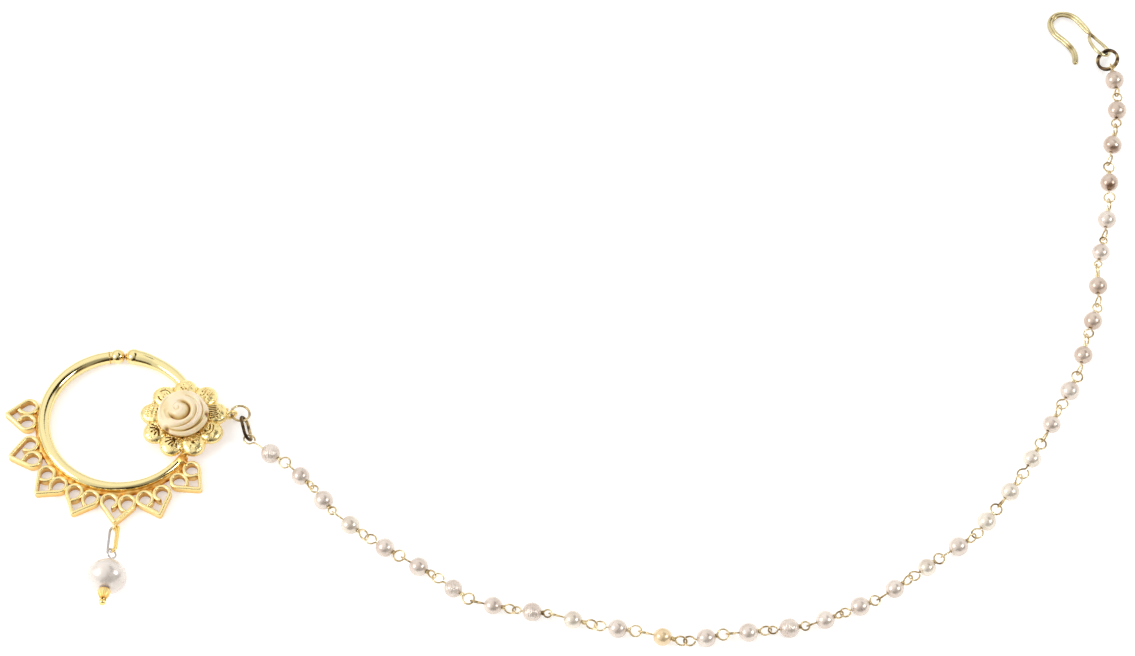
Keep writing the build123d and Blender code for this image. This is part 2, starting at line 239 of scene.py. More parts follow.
def tangent_arc(start, direction, end):
    """Points of the flat arc from start, heading in direction, to end; and its last heading."""
    start, end, direction = (np.array(v, float) for v in (start, end, direction))
    chord = end - start
    left = np.array((-direction[1], direction[0]))
    radius = chord @ chord / (2 * chord @ left)
    centre = start + left * radius
    first = math.degrees(math.atan2(*(start - centre)[::-1]))
    last = math.degrees(math.atan2(*(end - centre)[::-1]))
    if radius > 0 and last < first:
        last += 360
    if radius < 0 and last > first:
        last -= 360
    points = arc(centre, abs(radius), first, last, 24)
    heading = unit((end - centre) @ np.array(((0, 1), (-1, 0)))) * np.sign(radius)
    return points, heading


def bent(start, leave, arrive, end):
    """A smooth run from start to end that leaves and arrives towards two guide points."""
    t = np.linspace(0, 1, 18)[:, None]
    start, leave, arrive, end = (np.asarray(p, float) for p in (start, leave, arrive, end))
    outward = (1 - t) ** 3 * start + 3 * (1 - t) ** 2 * t * leave
    return outward + 3 * (1 - t) * t ** 2 * arrive + t ** 3 * end


def joined(*runs):
    """Runs of points as one path, without the points that repeat."""
    points = np.vstack([np.atleast_2d(r) for r in runs])
    keep = np.ones(len(points), bool)
    keep[1:] = np.linalg.norm(np.diff(points, axis=0), axis=1) > 1e-4
    return points[keep]


def resampled(points, step, closed=False):
    """The path with points evenly spaced about a step apart."""
    points = np.vstack((points, points[:1])) if closed else points
    lengths = np.concatenate(((0,), np.cumsum(np.linalg.norm(np.diff(points, axis=0), axis=1))))
    count = max(4, round(lengths[-1] / step))
    wanted = np.linspace(0, lengths[-1], count + 1)
    even = np.column_stack([np.interp(wanted, lengths, c) for c in points.T])
    return even[:-1] if closed else even


def softened(points, passes, closed=False):
    """The path with its corners rounded by averaging, its ends kept."""
    for _ in range(passes):
        before, after = np.roll(points, 1, 0), np.roll(points, -1, 0)
        smooth = 0.25 * before + 0.5 * points + 0.25 * after
        if not closed:
            smooth[0], smooth[-1] = points[0], points[-1]
        points = smooth
    return points


def spread_angles(count):
    """This many angles round a circle, in radians."""
    return np.arange(count) * 2 * math.pi / count


def ripple(points, wavelength, seed):
    """Smooth seeded noise, mostly from -1 to 1, at each point."""
    rng, waves = np.random.default_rng(seed), 14
    turns = unit(rng.normal(size=(waves, 3))) * rng.uniform(0.6, 1.5, (waves, 1))
    phase = rng.uniform(0, 2 * math.pi, waves)
    swing = spatial(points) @ turns.T * (2 * math.pi / wavelength) + phase
    return np.sin(swing).sum(1) / math.sqrt(waves)


def lumpy(points, centre, depth, wavelength, seed):
    """Points moved from or towards a centre by smooth noise."""
    return points + depth * ripple(points, wavelength, seed)[:, None] * unit(points - centre)


def rested(points, least):
    """The points with none lower than this."""
    return np.column_stack((points[:, :2], np.maximum(points[:, 2], least)))


# ---- Meshes ----
def linked(name, data):
    """A new object in the scene."""
    item = bpy.data.objects.new(name, data)
    bpy.context.scene.collection.objects.link(item)
    return item


def give_wear(mesh, wear):
    """Sets the wear and painted shade of each point of a mesh."""
    attribute = mesh.attributes.get("wear") or mesh.attributes.new("wear", "FLOAT", "POINT")
    attribute.data.foreach_set("value", np.asarray(wear, np.float32))


def mesh_points(mesh):
    """The points of a mesh, in millimetres."""
    flat = np.zeros(len(mesh.vertices) * 3, np.float32)
    mesh.vertices.foreach_get("co", flat)
    return flat.reshape(-1, 3).astype(float) / MM


class Shape:
    """The points, faces and wear of one piece, in millimetres."""

    def __init__(self):
        self.points, self.faces, self.wear, self.count = [], [], [], 0

    def add(self, points, faces, wear=1.0):
        """Adds a closed form; its wear and painted shade, kept from 0 to 1, is one value or one for
        each point.
        """
        self.points.append(points)
        self.faces += [[i + self.count for i in face] for face in faces]
        self.wear.append(np.broadcast_to(clamped(wear), (len(points),)))
        self.count += len(points)
        return self

    def build(self, name, finish, slot, *nodes):
        """The shape as a smooth Blender object that rides on the part and stands for its nodes."""
        mesh = bpy.data.meshes.new(name)
        mesh.from_pydata((np.vstack(self.points) * MM).tolist(), [], self.faces)
        mesh.validate()
        give_wear(mesh, np.concatenate(self.wear))
        mesh.shade_smooth()
        mesh.materials.append(finish)
        piece = linked(name, mesh)
        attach(piece, "root")
        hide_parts(*nodes)
        return piece


def skin(rows, columns, closed=False, inside_out=False):
    """Faces over rows of points, each row a ring; an open skin's last two points are its poles."""
    last = rows if closed else rows - 1
    row, column = np.meshgrid(np.arange(last), np.arange(columns), indexing="ij")
    above, beside = (row + 1) % rows, (column + 1) % columns
    this, after = row * columns, above * columns
    quads = np.stack((this + column, this + beside, after + beside, after + column), axis=-1)
    faces = quads.reshape(-1, 4).tolist()
    if not closed:
        pole, last = rows * columns, (rows - 1) * columns
        for c in range(columns):
            after = (c + 1) % columns
            faces += [[after, c, pole], [last + c, last + after, pole + 1]]
    return [face[::-1] for face in faces] if inside_out else faces


def round_section(sides):
    """A circle of radius 1."""
    turn = spread_angles(sides)
    return np.column_stack((np.cos(turn), np.sin(turn)))


def strip_section(width, low, high, corner):
    """A flat strip on edge, its corners rounded: across, and from low to high."""
    half = width / 2 - corner
    corners = ((half, high - corner, 0), (-half, high - corner, 90),
               (-half, low + corner, 180), (half, low + corner, 270))
    rounds = [arc((x, y), corner, start, start + 90, 4) for x, y, start in corners]
    sides = []
    for this, after in zip(rounds, rounds[1:] + rounds[:1]):
        upright = abs(this[-1][0] - after[0][0]) < 1e-6
        sides += list(this) + list(np.linspace(this[-1], after[0], 4)[1:-1] if upright else [])
    return np.array(sides)


def carried(points, closed, up):
    """The heading, side and normal at each point of a path."""
    run = np.roll(points, -1, 0) - np.roll(points, 1, 0) if closed else np.gradient(points, axis=0)
    ahead = unit(run)
    if up is not None:
        side = unit(np.cross(np.broadcast_to(up, ahead.shape), ahead))
        return ahead, side, np.cross(ahead, side)
    normal = np.empty_like(ahead)
    start = np.cross(ahead[0], (0, 0, 1) if abs(ahead[0][2]) < 0.9 else (1, 0, 0))
    for i, heading in enumerate(ahead):
        start = unit(start - (start @ heading) * heading)
        normal[i] = start
    if closed:
        twist = math.atan2(np.cross(normal[-1], normal[0]) @ ahead[0], normal[-1] @ normal[0])
        turn = np.linspace(0, twist, len(points))[:, None]
        normal = normal * np.cos(turn) + np.cross(ahead, normal) * np.sin(turn)
    return ahead, np.cross(normal, ahead), normal


def swept(points, scale, section, closed=False, up=None, cap_steps=4):
    """A section drawn along a path; open ends are rounded over. Returns points and faces."""
    points = np.asarray(points, float)
    scale = np.broadcast_to(np.asarray(scale, float), (len(points),))
    ahead, side, normal = carried(points, closed, up)
    if not closed:
        turn = np.radians(np.linspace(0, 90, cap_steps + 2)[1:-1])
        reach = scale[[0, -1]] * abs(section[:, 0]).max()
        head = points[0] - ahead[0] * (np.sin(turn) * reach[0])[::-1, None]
        tail = points[-1] + ahead[-1] * (np.sin(turn) * reach[1])[:, None]
        points = np.vstack((head, points, tail))
        scale = np.concatenate((np.cos(turn)[::-1] * scale[0], scale, np.cos(turn) * scale[-1]))
        side, normal = (np.pad(v, ((cap_steps, cap_steps), (0, 0)), "edge") for v in (side, normal))
    rows, columns = len(points), len(section)
    ring = section[None] * scale[:, None, None]
    body = points[:, None] + ring[..., :1] * side[:, None] + ring[..., 1:] * normal[:, None]
    body = body.reshape(-1, 3)
    if not closed:
        middle = section.mean(0)
        swell = reach * (1 - np.sin(turn[-1])) * 0.5
        for row, out in ((0, -swell[0]), (-1, swell[1])):
            inset = (side[row] * middle[0] + normal[row] * middle[1]) * scale[row]
            body = np.vstack((body, points[row] + ahead[row] * out + inset))
    return body, skin(rows, columns, closed, inside_out=True)


def turned(plane, profile, sides, lobe=None, closed=False):
    """A profile of (along, radius) turned about the plane's x; lobe gives each radius a factor."""
    profile = np.asarray(profile, float)
    angle = spread_angles(sides)
    factor = np.ones((len(profile), sides)) if lobe is None else lobe(profile[:, :1], angle[None])
    radius = profile[:, 1:2] * factor
    local = np.stack((np.broadcast_to(profile[:, :1], radius.shape), radius * np.cos(angle),
                      radius * np.sin(angle)), axis=-1)
    points = plane.at(local.reshape(-1, 3))
    if not closed:
        points = np.vstack((points, plane.at(((profile[0][0], 0, 0), (profile[-1][0], 0, 0)))))
    return points, skin(len(profile), sides, closed, inside_out=True)


def half_round(rows, limit=84):
    """The profile of a ball of radius 1, open by a little at its poles."""
    turn = np.radians(np.linspace(-limit, limit, rows))
    return np.column_stack((np.sin(turn), np.cos(turn)))


def ball(centre, radius, rows, sides):
    """A small ball."""
    return turned(Plane(centre, (0.02, 0, 1)), half_round(rows) * radius, sides)


def ring_of(plane, reach, radius, count, start=0.0):
    """Places evenly round the plane's x, this far along it."""
    flat = arc((0, 0), radius, start, start + 360, count + 1)[:-1]
    return plane.at(np.insert(flat, 0, reach, axis=1))


def drilled(plane, half_length, radius, bore, rows, sides):
    """A pearl with its bore, as one closed skin."""
    first = math.degrees(math.asin(bore / radius)) + 2
    turn = np.radians(np.linspace(first, 180 - first, rows))
    outer = np.column_stack((-np.cos(turn) * half_length, np.sin(turn) * radius))
    inner = np.linspace(outer[-1] * (1, 0) + (-0.06, bore), outer[0] * (1, 0) + (0.06, bore), 5)
    return turned(plane, np.vstack((outer, inner)), sides, closed=True)


def oval(straight, bend):
    """The centre line of an oval link, in its own plane."""
    half = straight / 2
    line = joined(arc((half, 0), bend, -90, 90, 40), arc((-half, 0), bend, 90, 270, 40))
    return resampled(line, 0.09, closed=True)


# ---- Finishes ----
class Nodes:
    """A node tree, to add to."""

    def __init__(self, tree):
        self.tree = tree

    def node(self, kind, links=None, **values):
        """A node with its settings, and values or links for its inputs."""
        node = self.tree.nodes.new(kind)
        for key, value in values.items():
            setattr(node, key, value)
        for key, value in (links or {}).items():
            self.set(node, key, value)
        return node

    def set(self, node, key, value):
        """Links or sets one input."""
        if isinstance(value, bpy.types.NodeSocket):
            self.tree.links.new(value, node.inputs[key])
        else:
            node.inputs[key].default_value = value

    def ramp(self, value, stops):
        """A colour ramp through (place, colour) stops."""
        node = self.node("ShaderNodeValToRGB", {"Fac": value})
        elements = node.color_ramp.elements
        while len(elements) < len(stops):
            elements.new(0.5)
        for element, (place, colour) in zip(elements, stops):
            element.position = place
            element.color = (*colour, 1)
        return node.outputs["Color"]


class Finish(Nodes):
    """A material and its nodes."""

    def __init__(self, name):
        self.material = bpy.data.materials.new(name)
        self.material.use_nodes = True
        super().__init__(self.material.node_tree)
        self.shader = self.tree.nodes["Principled BSDF"]
        self.place = self.node("ShaderNodeTexCoord").outputs["Object"]

    def shade(self, **values):
        """Links or sets the shader's inputs, whose names have _ for each space."""
        for key, value in values.items():
            self.set(self.shader, key.replace("_", " "), value)

    def noise(self, grain_mm, detail=3.0, distortion=0.0):
        """Noise whose spots are about this large."""
        links = {"Vector": self.place, "Scale": 1 / (grain_mm * MM), "Detail": detail,
                 "Roughness": 0.55, "Distortion": distortion}
        return self.node("ShaderNodeTexNoise", links).outputs["Fac"]

    def mottled_wear(self, noise, amount, low, high):
        """The mesh's own wear and painted shade plus noise times an amount, with low to high taken as
        0 to 1.
        """
        wear = self.node("ShaderNodeAttribute", attribute_name="wear").outputs["Fac"]
        return self.span(self.multiply_add(noise, amount, wear), 0.0, 1.0, low, high)

    def multiply_add(self, value, factor, term):
        """value * factor + term."""
        links = {0: value, 1: factor, 2: term}
        return self.node("ShaderNodeMath", links, operation="MULTIPLY_ADD").outputs[0]

    def span(self, value, low, high, from_low=0.0, from_high=1.0):
        """value, from one span, as low to high."""
        links = {"Value": value, "From Min": from_low, "From Max": from_high,
                 "To Min": low, "To Max": high}
        return self.node("ShaderNodeMapRange", links).outputs[0]

    def bump(self, height, depth_mm, strength):
        """A bump from a height of 0 to 1."""
        links = {"Height": height, "Distance": depth_mm * MM, "Strength": strength}
        return self.node("ShaderNodeBump", links).outputs["Normal"]


def metal(name, stops, rough, grain_mm=0.9, mottle=0.25, relief_mm=0.012):
    """A metal whose colour runs from dull orange, for recesses and painted shade, to polish, mottled,
    with fine scratches.
    """
    finish = Finish(name)
    shade = finish.mottled_wear(finish.noise(grain_mm), mottle, mottle / 2, 1 + mottle / 2)
    fine = finish.noise(grain_mm * 0.22, detail=2.0)
    dull = finish.multiply_add(shade, -0.5, fine)
    finish.shade(Base_Color=finish.ramp(shade, stops), Metallic=1.0,
                 Roughness=finish.span(dull, *rough, -0.2, 0.75),
                 Normal=finish.bump(fine, relief_mm, 0.5))
    return finish.material


def nacre(name, stained, middle, clean, crackle_mm=0.0, lustre=0.48):
    """A pearl: soft clouded colour with a lustre that mirrors the room, its skin faintly uneven."""
    finish = Finish(name)
    cloud = finish.noise(1.3, detail=4.0, distortion=0.4)
    if crackle_mm:
        settings = {"Vector": finish.place, "Scale": 1 / (1.1 * MM), "Distortion": 6.0,
                    "Detail": 2.0, "Detail Scale": 2.0}
        rings = finish.node("ShaderNodeTexWave", settings, wave_type="BANDS").outputs["Fac"]
        normal = finish.bump(rings, crackle_mm, 0.8)
    else:
        normal = finish.bump(finish.noise(0.28, detail=2.0), 0.010, 0.5)
    stops = [(0.0, stained), (0.35, middle), (1.0, clean)]
    finish.shade(Base_Color=finish.ramp(finish.mottled_wear(cloud, 0.9, 0.3, 1.6), stops),
                 Metallic=lustre, Roughness=finish.span(cloud, 0.20, 0.36), Specular_IOR_Level=0.7,
                 Specular_Tint=(0.80, 0.70, 0.64, 1), Coat_Weight=0.8, Coat_Roughness=0.12,
                 Normal=normal)
    return finish.material


GOLD_STOPS = [(0.0, (0.10, 0.05, 0.01)), (0.12, (0.42, 0.20, 0.03)), (0.32, (0.80, 0.47, 0.12)),
              (0.62, (0.91, 0.69, 0.28)), (1.0, (0.95, 0.79, 0.38))]
POLISHED_STOPS = GOLD_STOPS[:3] + [(0.62, (0.85, 0.66, 0.28)), (1.0, (0.87, 0.75, 0.38))]
polished_gold = metal("polished_gold", POLISHED_STOPS, (0.08, 0.2))
worked_gold = metal("worked_gold", GOLD_STOPS, (0.22, 0.5), grain_mm=0.6, mottle=0.4, relief_mm=0.02)
SOLDER_STOPS = [(0.0, (0.26, 0.06, 0.01)), (0.45, (0.72, 0.33, 0.06)), (1.0, (0.93, 0.66, 0.24))]
HOOK_STOPS = [(0.0, (0.10, 0.05, 0.02)), (0.45, (0.40, 0.31, 0.14)), (1.0, (0.79, 0.70, 0.43))]
BRASS_STOPS = [(0.0, (0.03, 0.018, 0.01)), (0.45, (0.14, 0.085, 0.04)), (1.0, (0.60, 0.46, 0.23))]
WIRE_STOPS = [(0.0, (0.22, 0.14, 0.06)), (0.5, (0.60, 0.46, 0.24)), (1.0, (0.86, 0.74, 0.48))]
PLATED_STOPS = [(0.0, (0.50, 0.48, 0.50)), (0.45, (0.72, 0.68, 0.66)), (0.62, (0.86, 0.62, 0.24)),
                (1.0, (0.95, 0.72, 0.28))]
solder_gold = metal("solder_gold", SOLDER_STOPS, (0.28, 0.6), grain_mm=0.7, mottle=0.7, relief_mm=0.03)
hook_gold = metal("hook_gold", HOOK_STOPS, (0.16, 0.36), grain_mm=1.6, mottle=0.5)
old_brass = metal("old_brass", BRASS_STOPS, (0.22, 0.5), grain_mm=0.45, mottle=0.9, relief_mm=0.03)
wire_gold = metal("wire_gold", WIRE_STOPS, (0.16, 0.4), grain_mm=0.8, mottle=0.6)
plated_ring = metal("plated_ring", PLATED_STOPS, (0.14, 0.35), mottle=0.2)
PINK_PEARL = ((0.34, 0.22, 0.14), (0.62, 0.515, 0.445), (0.84, 0.76, 0.68))
pink_nacre = nacre("pink_nacre", *PINK_PEARL)
crackled_nacre = nacre("crackled_nacre", *PINK_PEARL, crackle_mm=0.05)
pale_nacre = nacre("pale_nacre", (0.38, 0.27, 0.18), (0.68, 0.59, 0.49), (0.90, 0.84, 0.73))
dusky_nacre = nacre("dusky_nacre", (0.17, 0.07, 0.02), (0.52, 0.39, 0.31), (0.74, 0.63, 0.53))
cream_nacre = nacre("cream_nacre", (0.46, 0.27, 0.11), (0.74, 0.55, 0.31), (0.88, 0.71, 0.46))
white_nacre = nacre("white_nacre", (0.50, 0.38, 0.28), (0.74, 0.67, 0.61), (0.87, 0.81, 0.76),
                    lustre=0.32)


def ivory_finish():
    """The carved stone: warm cream, with ochre in its grooves as painted shade and rose on some lips
    as a painted highlight.
    """
    finish = Finish("carved_ivory")
    cloud = finish.noise(2.2, detail=3.0)
    stops = [(0.0, (0.26, 0.09, 0.04)), (0.14, (0.48, 0.30, 0.09)), (0.42, (0.72, 0.53, 0.22)),
             (0.76, (0.88, 0.74, 0.48)), (1.0, (0.91, 0.76, 0.59))]
    finish.shade(Base_Color=finish.ramp(finish.mottled_wear(cloud, 0.25, 0.12, 1.12), stops),
                 Roughness=finish.span(cloud, 0.28, 0.45), Subsurface_Weight=0.2,
                 Subsurface_Radius=(1.0, 0.6, 0.4), Subsurface_Scale=0.5 * MM,
                 Coat_Weight=0.25, Coat_Roughness=0.2,
                 Normal=finish.bump(finish.noise(0.35, detail=3.0), 0.015, 0.4))
    return finish.material


carved_ivory = ivory_finish()


# ---- Hoop, its end balls and collar ----
def hoop_point(angle, outward=0.0, height=HOOP_HEIGHT):
    """Points of the hoop's centre line at these bearings, or outward of it."""
    angle = np.atleast_1d(np.asarray(angle, float))
    lean, turn = np.radians(angle - HOOP_LEAN), np.radians(angle)
    reach = 1 / np.hypot(np.cos(lean) / HOOP_LONG, np.sin(lean) / HOOP_SHORT) + outward
    return np.column_stack((reach * np.cos(turn), reach * np.sin(turn), np.full(len(turn), height)))


def hoop_plane(angle, height=HOOP_HEIGHT):
    """The plane across the hoop at this bearing: x runs along the wire."""
    ahead = (hoop_point(angle + 1) - hoop_point(angle - 1))[0]
    return Plane(hoop_point(angle, 0, height)[0], ahead)


hoop_angles = np.linspace(HOOP_TAPER[0].angle, HOOP_TAPER[-1].angle, 420)
hoop_radii = np.interp(hoop_angles, *zip(*HOOP_TAPER))
hoop_radii = softened(hoop_radii[:, None], 400)[:, 0]
flare = clamped((hoop_angles - FLARE_START) / (FLARE_END - FLARE_START))
flare = flare ** 2 * (3 - 2 * flare)
hoop_radii += (FLARE_RADIUS - hoop_radii) * flare
hoop_line = hoop_point(hoop_angles)
hoop_line[:, 2] += np.maximum(hoop_radii - HOOP_HEIGHT, 0)
hoop_radii *= 1 + 0.012 * ripple(hoop_line, 9.0, 3)
points, faces = swept(hoop_line, hoop_radii, round_section(40), up=(0, 0, 1))
points = lumpy(points, (0, 0, HOOP_HEIGHT), 0.006, 2.2, 5)
outer = np.hypot(points[:, 0], points[:, 1]) - HOOP_MIDDLE
height = clamped(points[:, 2] / (2 * HOOP_HEIGHT))
# The wire is painted darker towards its underside, as shade, and a little darker on its outer side.
wear = 1 - 0.55 * (1 - height) ** 1.6 - 0.1 * clamped(outer - 0.3)
Shape().add(points, faces, wear).build("hoop", polished_gold, *IN_FRAME)

# The left ball stands behind a collar of one fine wire, and the right arm flares into its ball
for end in END_BALLS:
    plane = hoop_plane(end.angle, end.radius)
    points, faces = turned(plane, half_round(34, 86) * end.radius, 56)
    # Each ball is painted darker towards its ends along the wire, as shade where it meets the hoop and
    # the other ball.
    wear = end.polish - abs(plane.ahead(points))
    Shape().add(points, faces, wear).build(f"{end.side}_end_ball", polished_gold, *IN_FRAME)

plane = hoop_plane(COLLAR_ANGLE)
ring, wire = ring_of(plane, 0, COLLAR_RADIUS, 72), COLLAR_WIRE + 0.01 * np.cos(spread_angles(72) * 12)
points, faces = swept(ring, wire, round_section(12), closed=True, up=plane.x)
Shape().add(points, faces, 0.25).build("hoop_collar", polished_gold, *IN_FRAME)


# ---- Scroll hearts, each one strip bent from curl to curl ----
half_strip = STRIP_WIDTH / 2
tip_x = 1.3 * half_strip
lobe_inset = half_strip + LOBE_RADIUS
lobe_centre = np.array((HEART_LENGTH - lobe_inset, lobe_inset - LOBE_OVERLAP))
lobe_run, lobe_side = lobe_centre - (tip_x, 0)
lobe_reach = math.hypot(lobe_run, lobe_side)
flank_angle = math.degrees(math.atan2(lobe_side, lobe_run) + math.asin(LOBE_RADIUS / lobe_reach))


def heart_plane(heart):
    """The plane that one heart lies on, x from its tip to the hoop."""
    return Plane(along(heart.angle) * heart.tip_radius, along(heart.angle + 180 + heart.turn))


def half_heart(curl):
    """The strip from the tip round one lobe to the end of its curl, on the +y side."""
    lobe = arc(lobe_centre, LOBE_RADIUS, flank_angle + 90, -90, 60)
    flank_way = unit(lobe[0] - (tip_x, 0))
    across = np.array((-flank_way[1], flank_way[0]))
    centre = lobe[-1] + (0, curl.radius)
    bend = arc(centre, curl.radius, -90, -290, 120)
    gap = -(bend - (tip_x, 0)) @ across
    touch = np.argmax(gap < STRIP_WIDTH * 0.78)
    last = max(6, int(touch * curl.reach))
    return joined(np.linspace((tip_x, 0), lobe[0], 30), lobe, bend[:last])


def heart_strip(index, heart):
    """One heart, its strip a little uneven; index picks the unevenness."""
    left, right = half_heart(heart.left_curl), half_heart(heart.right_curl)
    path = resampled(joined(left[::-1], right * (1, -1)), 0.075)
    path = softened(path, 8)
    path = path + np.column_stack([ripple(path, 4.0, 40 + 2 * index + k) for k in (0, 1)]) * 0.025
    line = heart_plane(heart).at(path)
    scale = 1 + 0.05 * ripple(line, 2.5, 70 + index)
    section = strip_section(STRIP_FACE, 0.0, STRIP_DEPTH, 0.2)
    body, faces = swept(line, 1.0, section, up=(0, 0, 1))
    inner = body[:-2].reshape(-1, len(section), 3)
    middle = inner.mean(1, keepdims=True)
    stretch = np.concatenate((np.ones(4) * scale[0], scale, np.ones(4) * scale[-1]))[:, None, None]
    inner[..., :2] = (middle + (inner - middle) * stretch)[..., :2]
    body[:-2] = inner.reshape(-1, 3)
    body[:, 2] = np.clip(body[:, 2], 0, None) * (1 + 0.02 * ripple(body, 3.0, 90 + index))
    height = body[:, 2] / STRIP_DEPTH
    # Walls are painted darker towards the floor as shade, darker still on the side facing into the
    # heart, and lighter on the outer side as light from the floor; the top edges are polished.
    inner_side = np.zeros(len(body))
    inner_side[:-2] = np.tile(section[:, 0] > 0.1, (len(body) - 2) // len(section))
    wall_shade = np.where(inner_side > 0, 0.14 + 0.20 * height, 0.34 + 0.30 * height)
    wear = wall_shade + (1 - wall_shade) * clamped((height - 0.82) * 7)
    return Shape().add(body, faces, wear)


for index, heart in enumerate(HEARTS):
    heart_strip(index, heart).build(f"scroll_heart_{index + 1}", worked_gold, *IN_FRAME)

# Solder between the hoop and the hearts: a lumpy bead with a drop in each cleft, fused together
solder = Shape()
rail = arc((0, 0), RAIL_RING, RAIL_START, RAIL_END, RAIL_STEPS)
rail = np.column_stack((rail, np.full(RAIL_STEPS, RAIL_HEIGHT)))
rail_radii = RAIL_RADIUS * (0.88 + 0.12 * ripple(rail, 2.4, 11))
solder.add(*swept(rail, rail_radii, round_section(18), up=(0, 0, 1)))
for index, heart in enumerate(HEARTS):
    for centre, radius in zip(heart_plane(heart).at(CLEFT_DROPS), CLEFT_DROP_RADII):
        centre = centre + (0, 0, CLEFT_DROP_HEIGHT)
        points, faces = ball(centre, radius, 12, 20)
        solder.add(lumpy(points, centre, 0.08, 0.9, 120 + index), faces)
knot = hoop_point(SOLDER_ANGLE, 0.3)[0]
points, faces = ball(knot, SOLDER_RADIUS, 24, 36)
solder.add(rested(lumpy(points, knot, 0.10, 0.8, 21), 0.1), faces)
solder_piece = solder.build("solder_seam", solder_gold, *IN_FRAME)


def fused(piece, voxel_mm, smooth):
    """Melts a piece's overlapping forms into one skin."""
    for kind, settings in (("REMESH", {"mode": "VOXEL", "voxel_size": voxel_mm * MM}),
                           ("SMOOTH", {"factor": 0.5, "iterations": smooth})):
        modifier = piece.modifiers.new(kind.lower(), kind)
        for key, value in settings.items():
            setattr(modifier, key, value)
    graph = bpy.context.evaluated_depsgraph_get()
    mesh = bpy.data.meshes.new_from_object(piece.evaluated_get(graph))
    piece.modifiers.clear()
    piece.data = mesh
    mesh.shade_smooth()
    return mesh


solder_mesh = fused(solder_piece, voxel_mm=0.075, smooth=4)
melt = mesh_points(solder_mesh)
# The solder is mottled, and painted darker lower down, as shade under the hoop.
give_wear(solder_mesh, clamped(0.46 + 0.22 * ripple(melt, 1.4, 31) + 0.25 * (melt[:, 2] - 0.8)))


# ---- Rosette: nine petals, each chased in its own way, on a plate with granules round the rose ----
def spray(count, centre, start, spread, inner, outer, width, depth):
    """Strokes that fan out from a centre."""
    strokes = []
    for angle in np.radians(np.linspace(start - spread / 2, start + spread / 2, count)):
        way = np.array((math.cos(angle), math.sin(angle)))
        a, b = centre + way * inner, centre + way * outer
        strokes.append(Stroke(*a, *b, width, depth))
    return strokes


def comb(count, x0, x1, spread, width, depth, slant=0.0):
    """Strokes side by side."""
    return [Stroke(x0, y, x1, y + slant, width, depth) for y in np.linspace(-spread, spread, count)]


def pits(places, width, depth):
    """Single punched dots."""
    return [Stroke(x, y, x, y, width, depth) for x, y in places]


def curve_strokes(centre, radius, start, sweep, count, width, depth):
    """Strokes end to end along an arc."""
    line = arc(centre, radius, start, start + sweep, count + 1)
    return [Stroke(*a, *b, width, depth) for a, b in zip(line, line[1:])]


PETAL_CHASING = {
    90: pits(((-0.2, -0.5), (0.05, -0.15), (0.0, 0.3), (0.25, 0.55), (-0.35, 0.1)), 0.13, 0.16),
    130: curve_strokes((0.05, 0.0), 0.95, 60, 300, 12, 0.10, 0.12)
    + curve_strokes((-0.1, -0.1), 0.45, 100, 200, 8, 0.08, 0.10),
    170: comb(6, -0.2, 1.1, 0.9, 0.06, 0.06) + pits(((-0.6, -0.5), (-0.5, 0.1)), 0.14, 0.2),
    210: spray(5, (-0.5, 0.0), 0, 130, 0.25, 1.25, 0.11, 0.22),
    250: spray(5, (-0.75, 0.45), -25, 100, 0.2, 1.5, 0.10, 0.2)
    + pits(((0.3, -0.8), (0.6, 0.3)), 0.13, 0.2),
    290: pits(((0.15, 0.0),), 0.22, 0.32)
    + curve_strokes((-0.9, 0.6), 0.9, -80, 110, 6, 0.07, 0.08),
    330: curve_strokes((-0.9, 0.0), 0.85, -60, 120, 8, 0.09, 0.14)
    + curve_strokes((-0.9, 0.0), 1.35, -45, 90, 8, 0.08, 0.12)
    + pits(((-0.5, -0.5),), 0.16, 0.2),
    10: comb(7, -0.9, 0.35, 1.0, 0.085, 0.18)
    + pits(((0.6, 0.3), (0.75, -0.1), (0.5, -0.5)), 0.12, 0.14),
    50: pits(((-0.3, 0.5), (0.1, 0.2), (-0.2, -0.3), (0.4, -0.3), (0.3, 0.7)), 0.11, 0.14)
    + comb(4, 0.3, 1.2, 0.7, 0.06, 0.08, 0.15),
}
GRANULES = {90: 16, 130: 4, 170: 7, 210: 22, 250: 22, 290: 12, 330: 20, 10: 22, 50: 26}
PETAL_LONG, PETAL_WIDE, PETAL_TOP = 1.98, 1.94, 1.12
PETAL_SEAT, PETAL_BASE, PETAL_SKIRT = 4.72, 1.68, 0.12
PETAL_ROWS, PETAL_COLUMNS = 46, 132


def petal_edge(angle, bearing):
    """How far a petal's outline reaches at each angle, next to its oval."""
    return 1 + 0.035 * np.cos(2 * angle) + 0.02 * np.cos(3 * angle + bearing)


def petal_rise(x, y, bearing):
    """The height of a petal's puffed top, and how near its outline each place is, from 0 to 1."""
    reach = np.hypot(x / PETAL_LONG, y / PETAL_WIDE)
    reach = clamped(reach / petal_edge(np.arctan2(y / PETAL_WIDE, x / PETAL_LONG), bearing))
    dimple = 0.035 * ripple(np.column_stack((np.ravel(x), np.ravel(y))), 0.9, bearing)
    dimple = dimple.reshape(np.shape(x)) * (1 - reach ** 4)
    return (1 - reach ** 3.4) ** 0.5 * PETAL_TOP * (1 - 0.04 * x) + dimple, reach


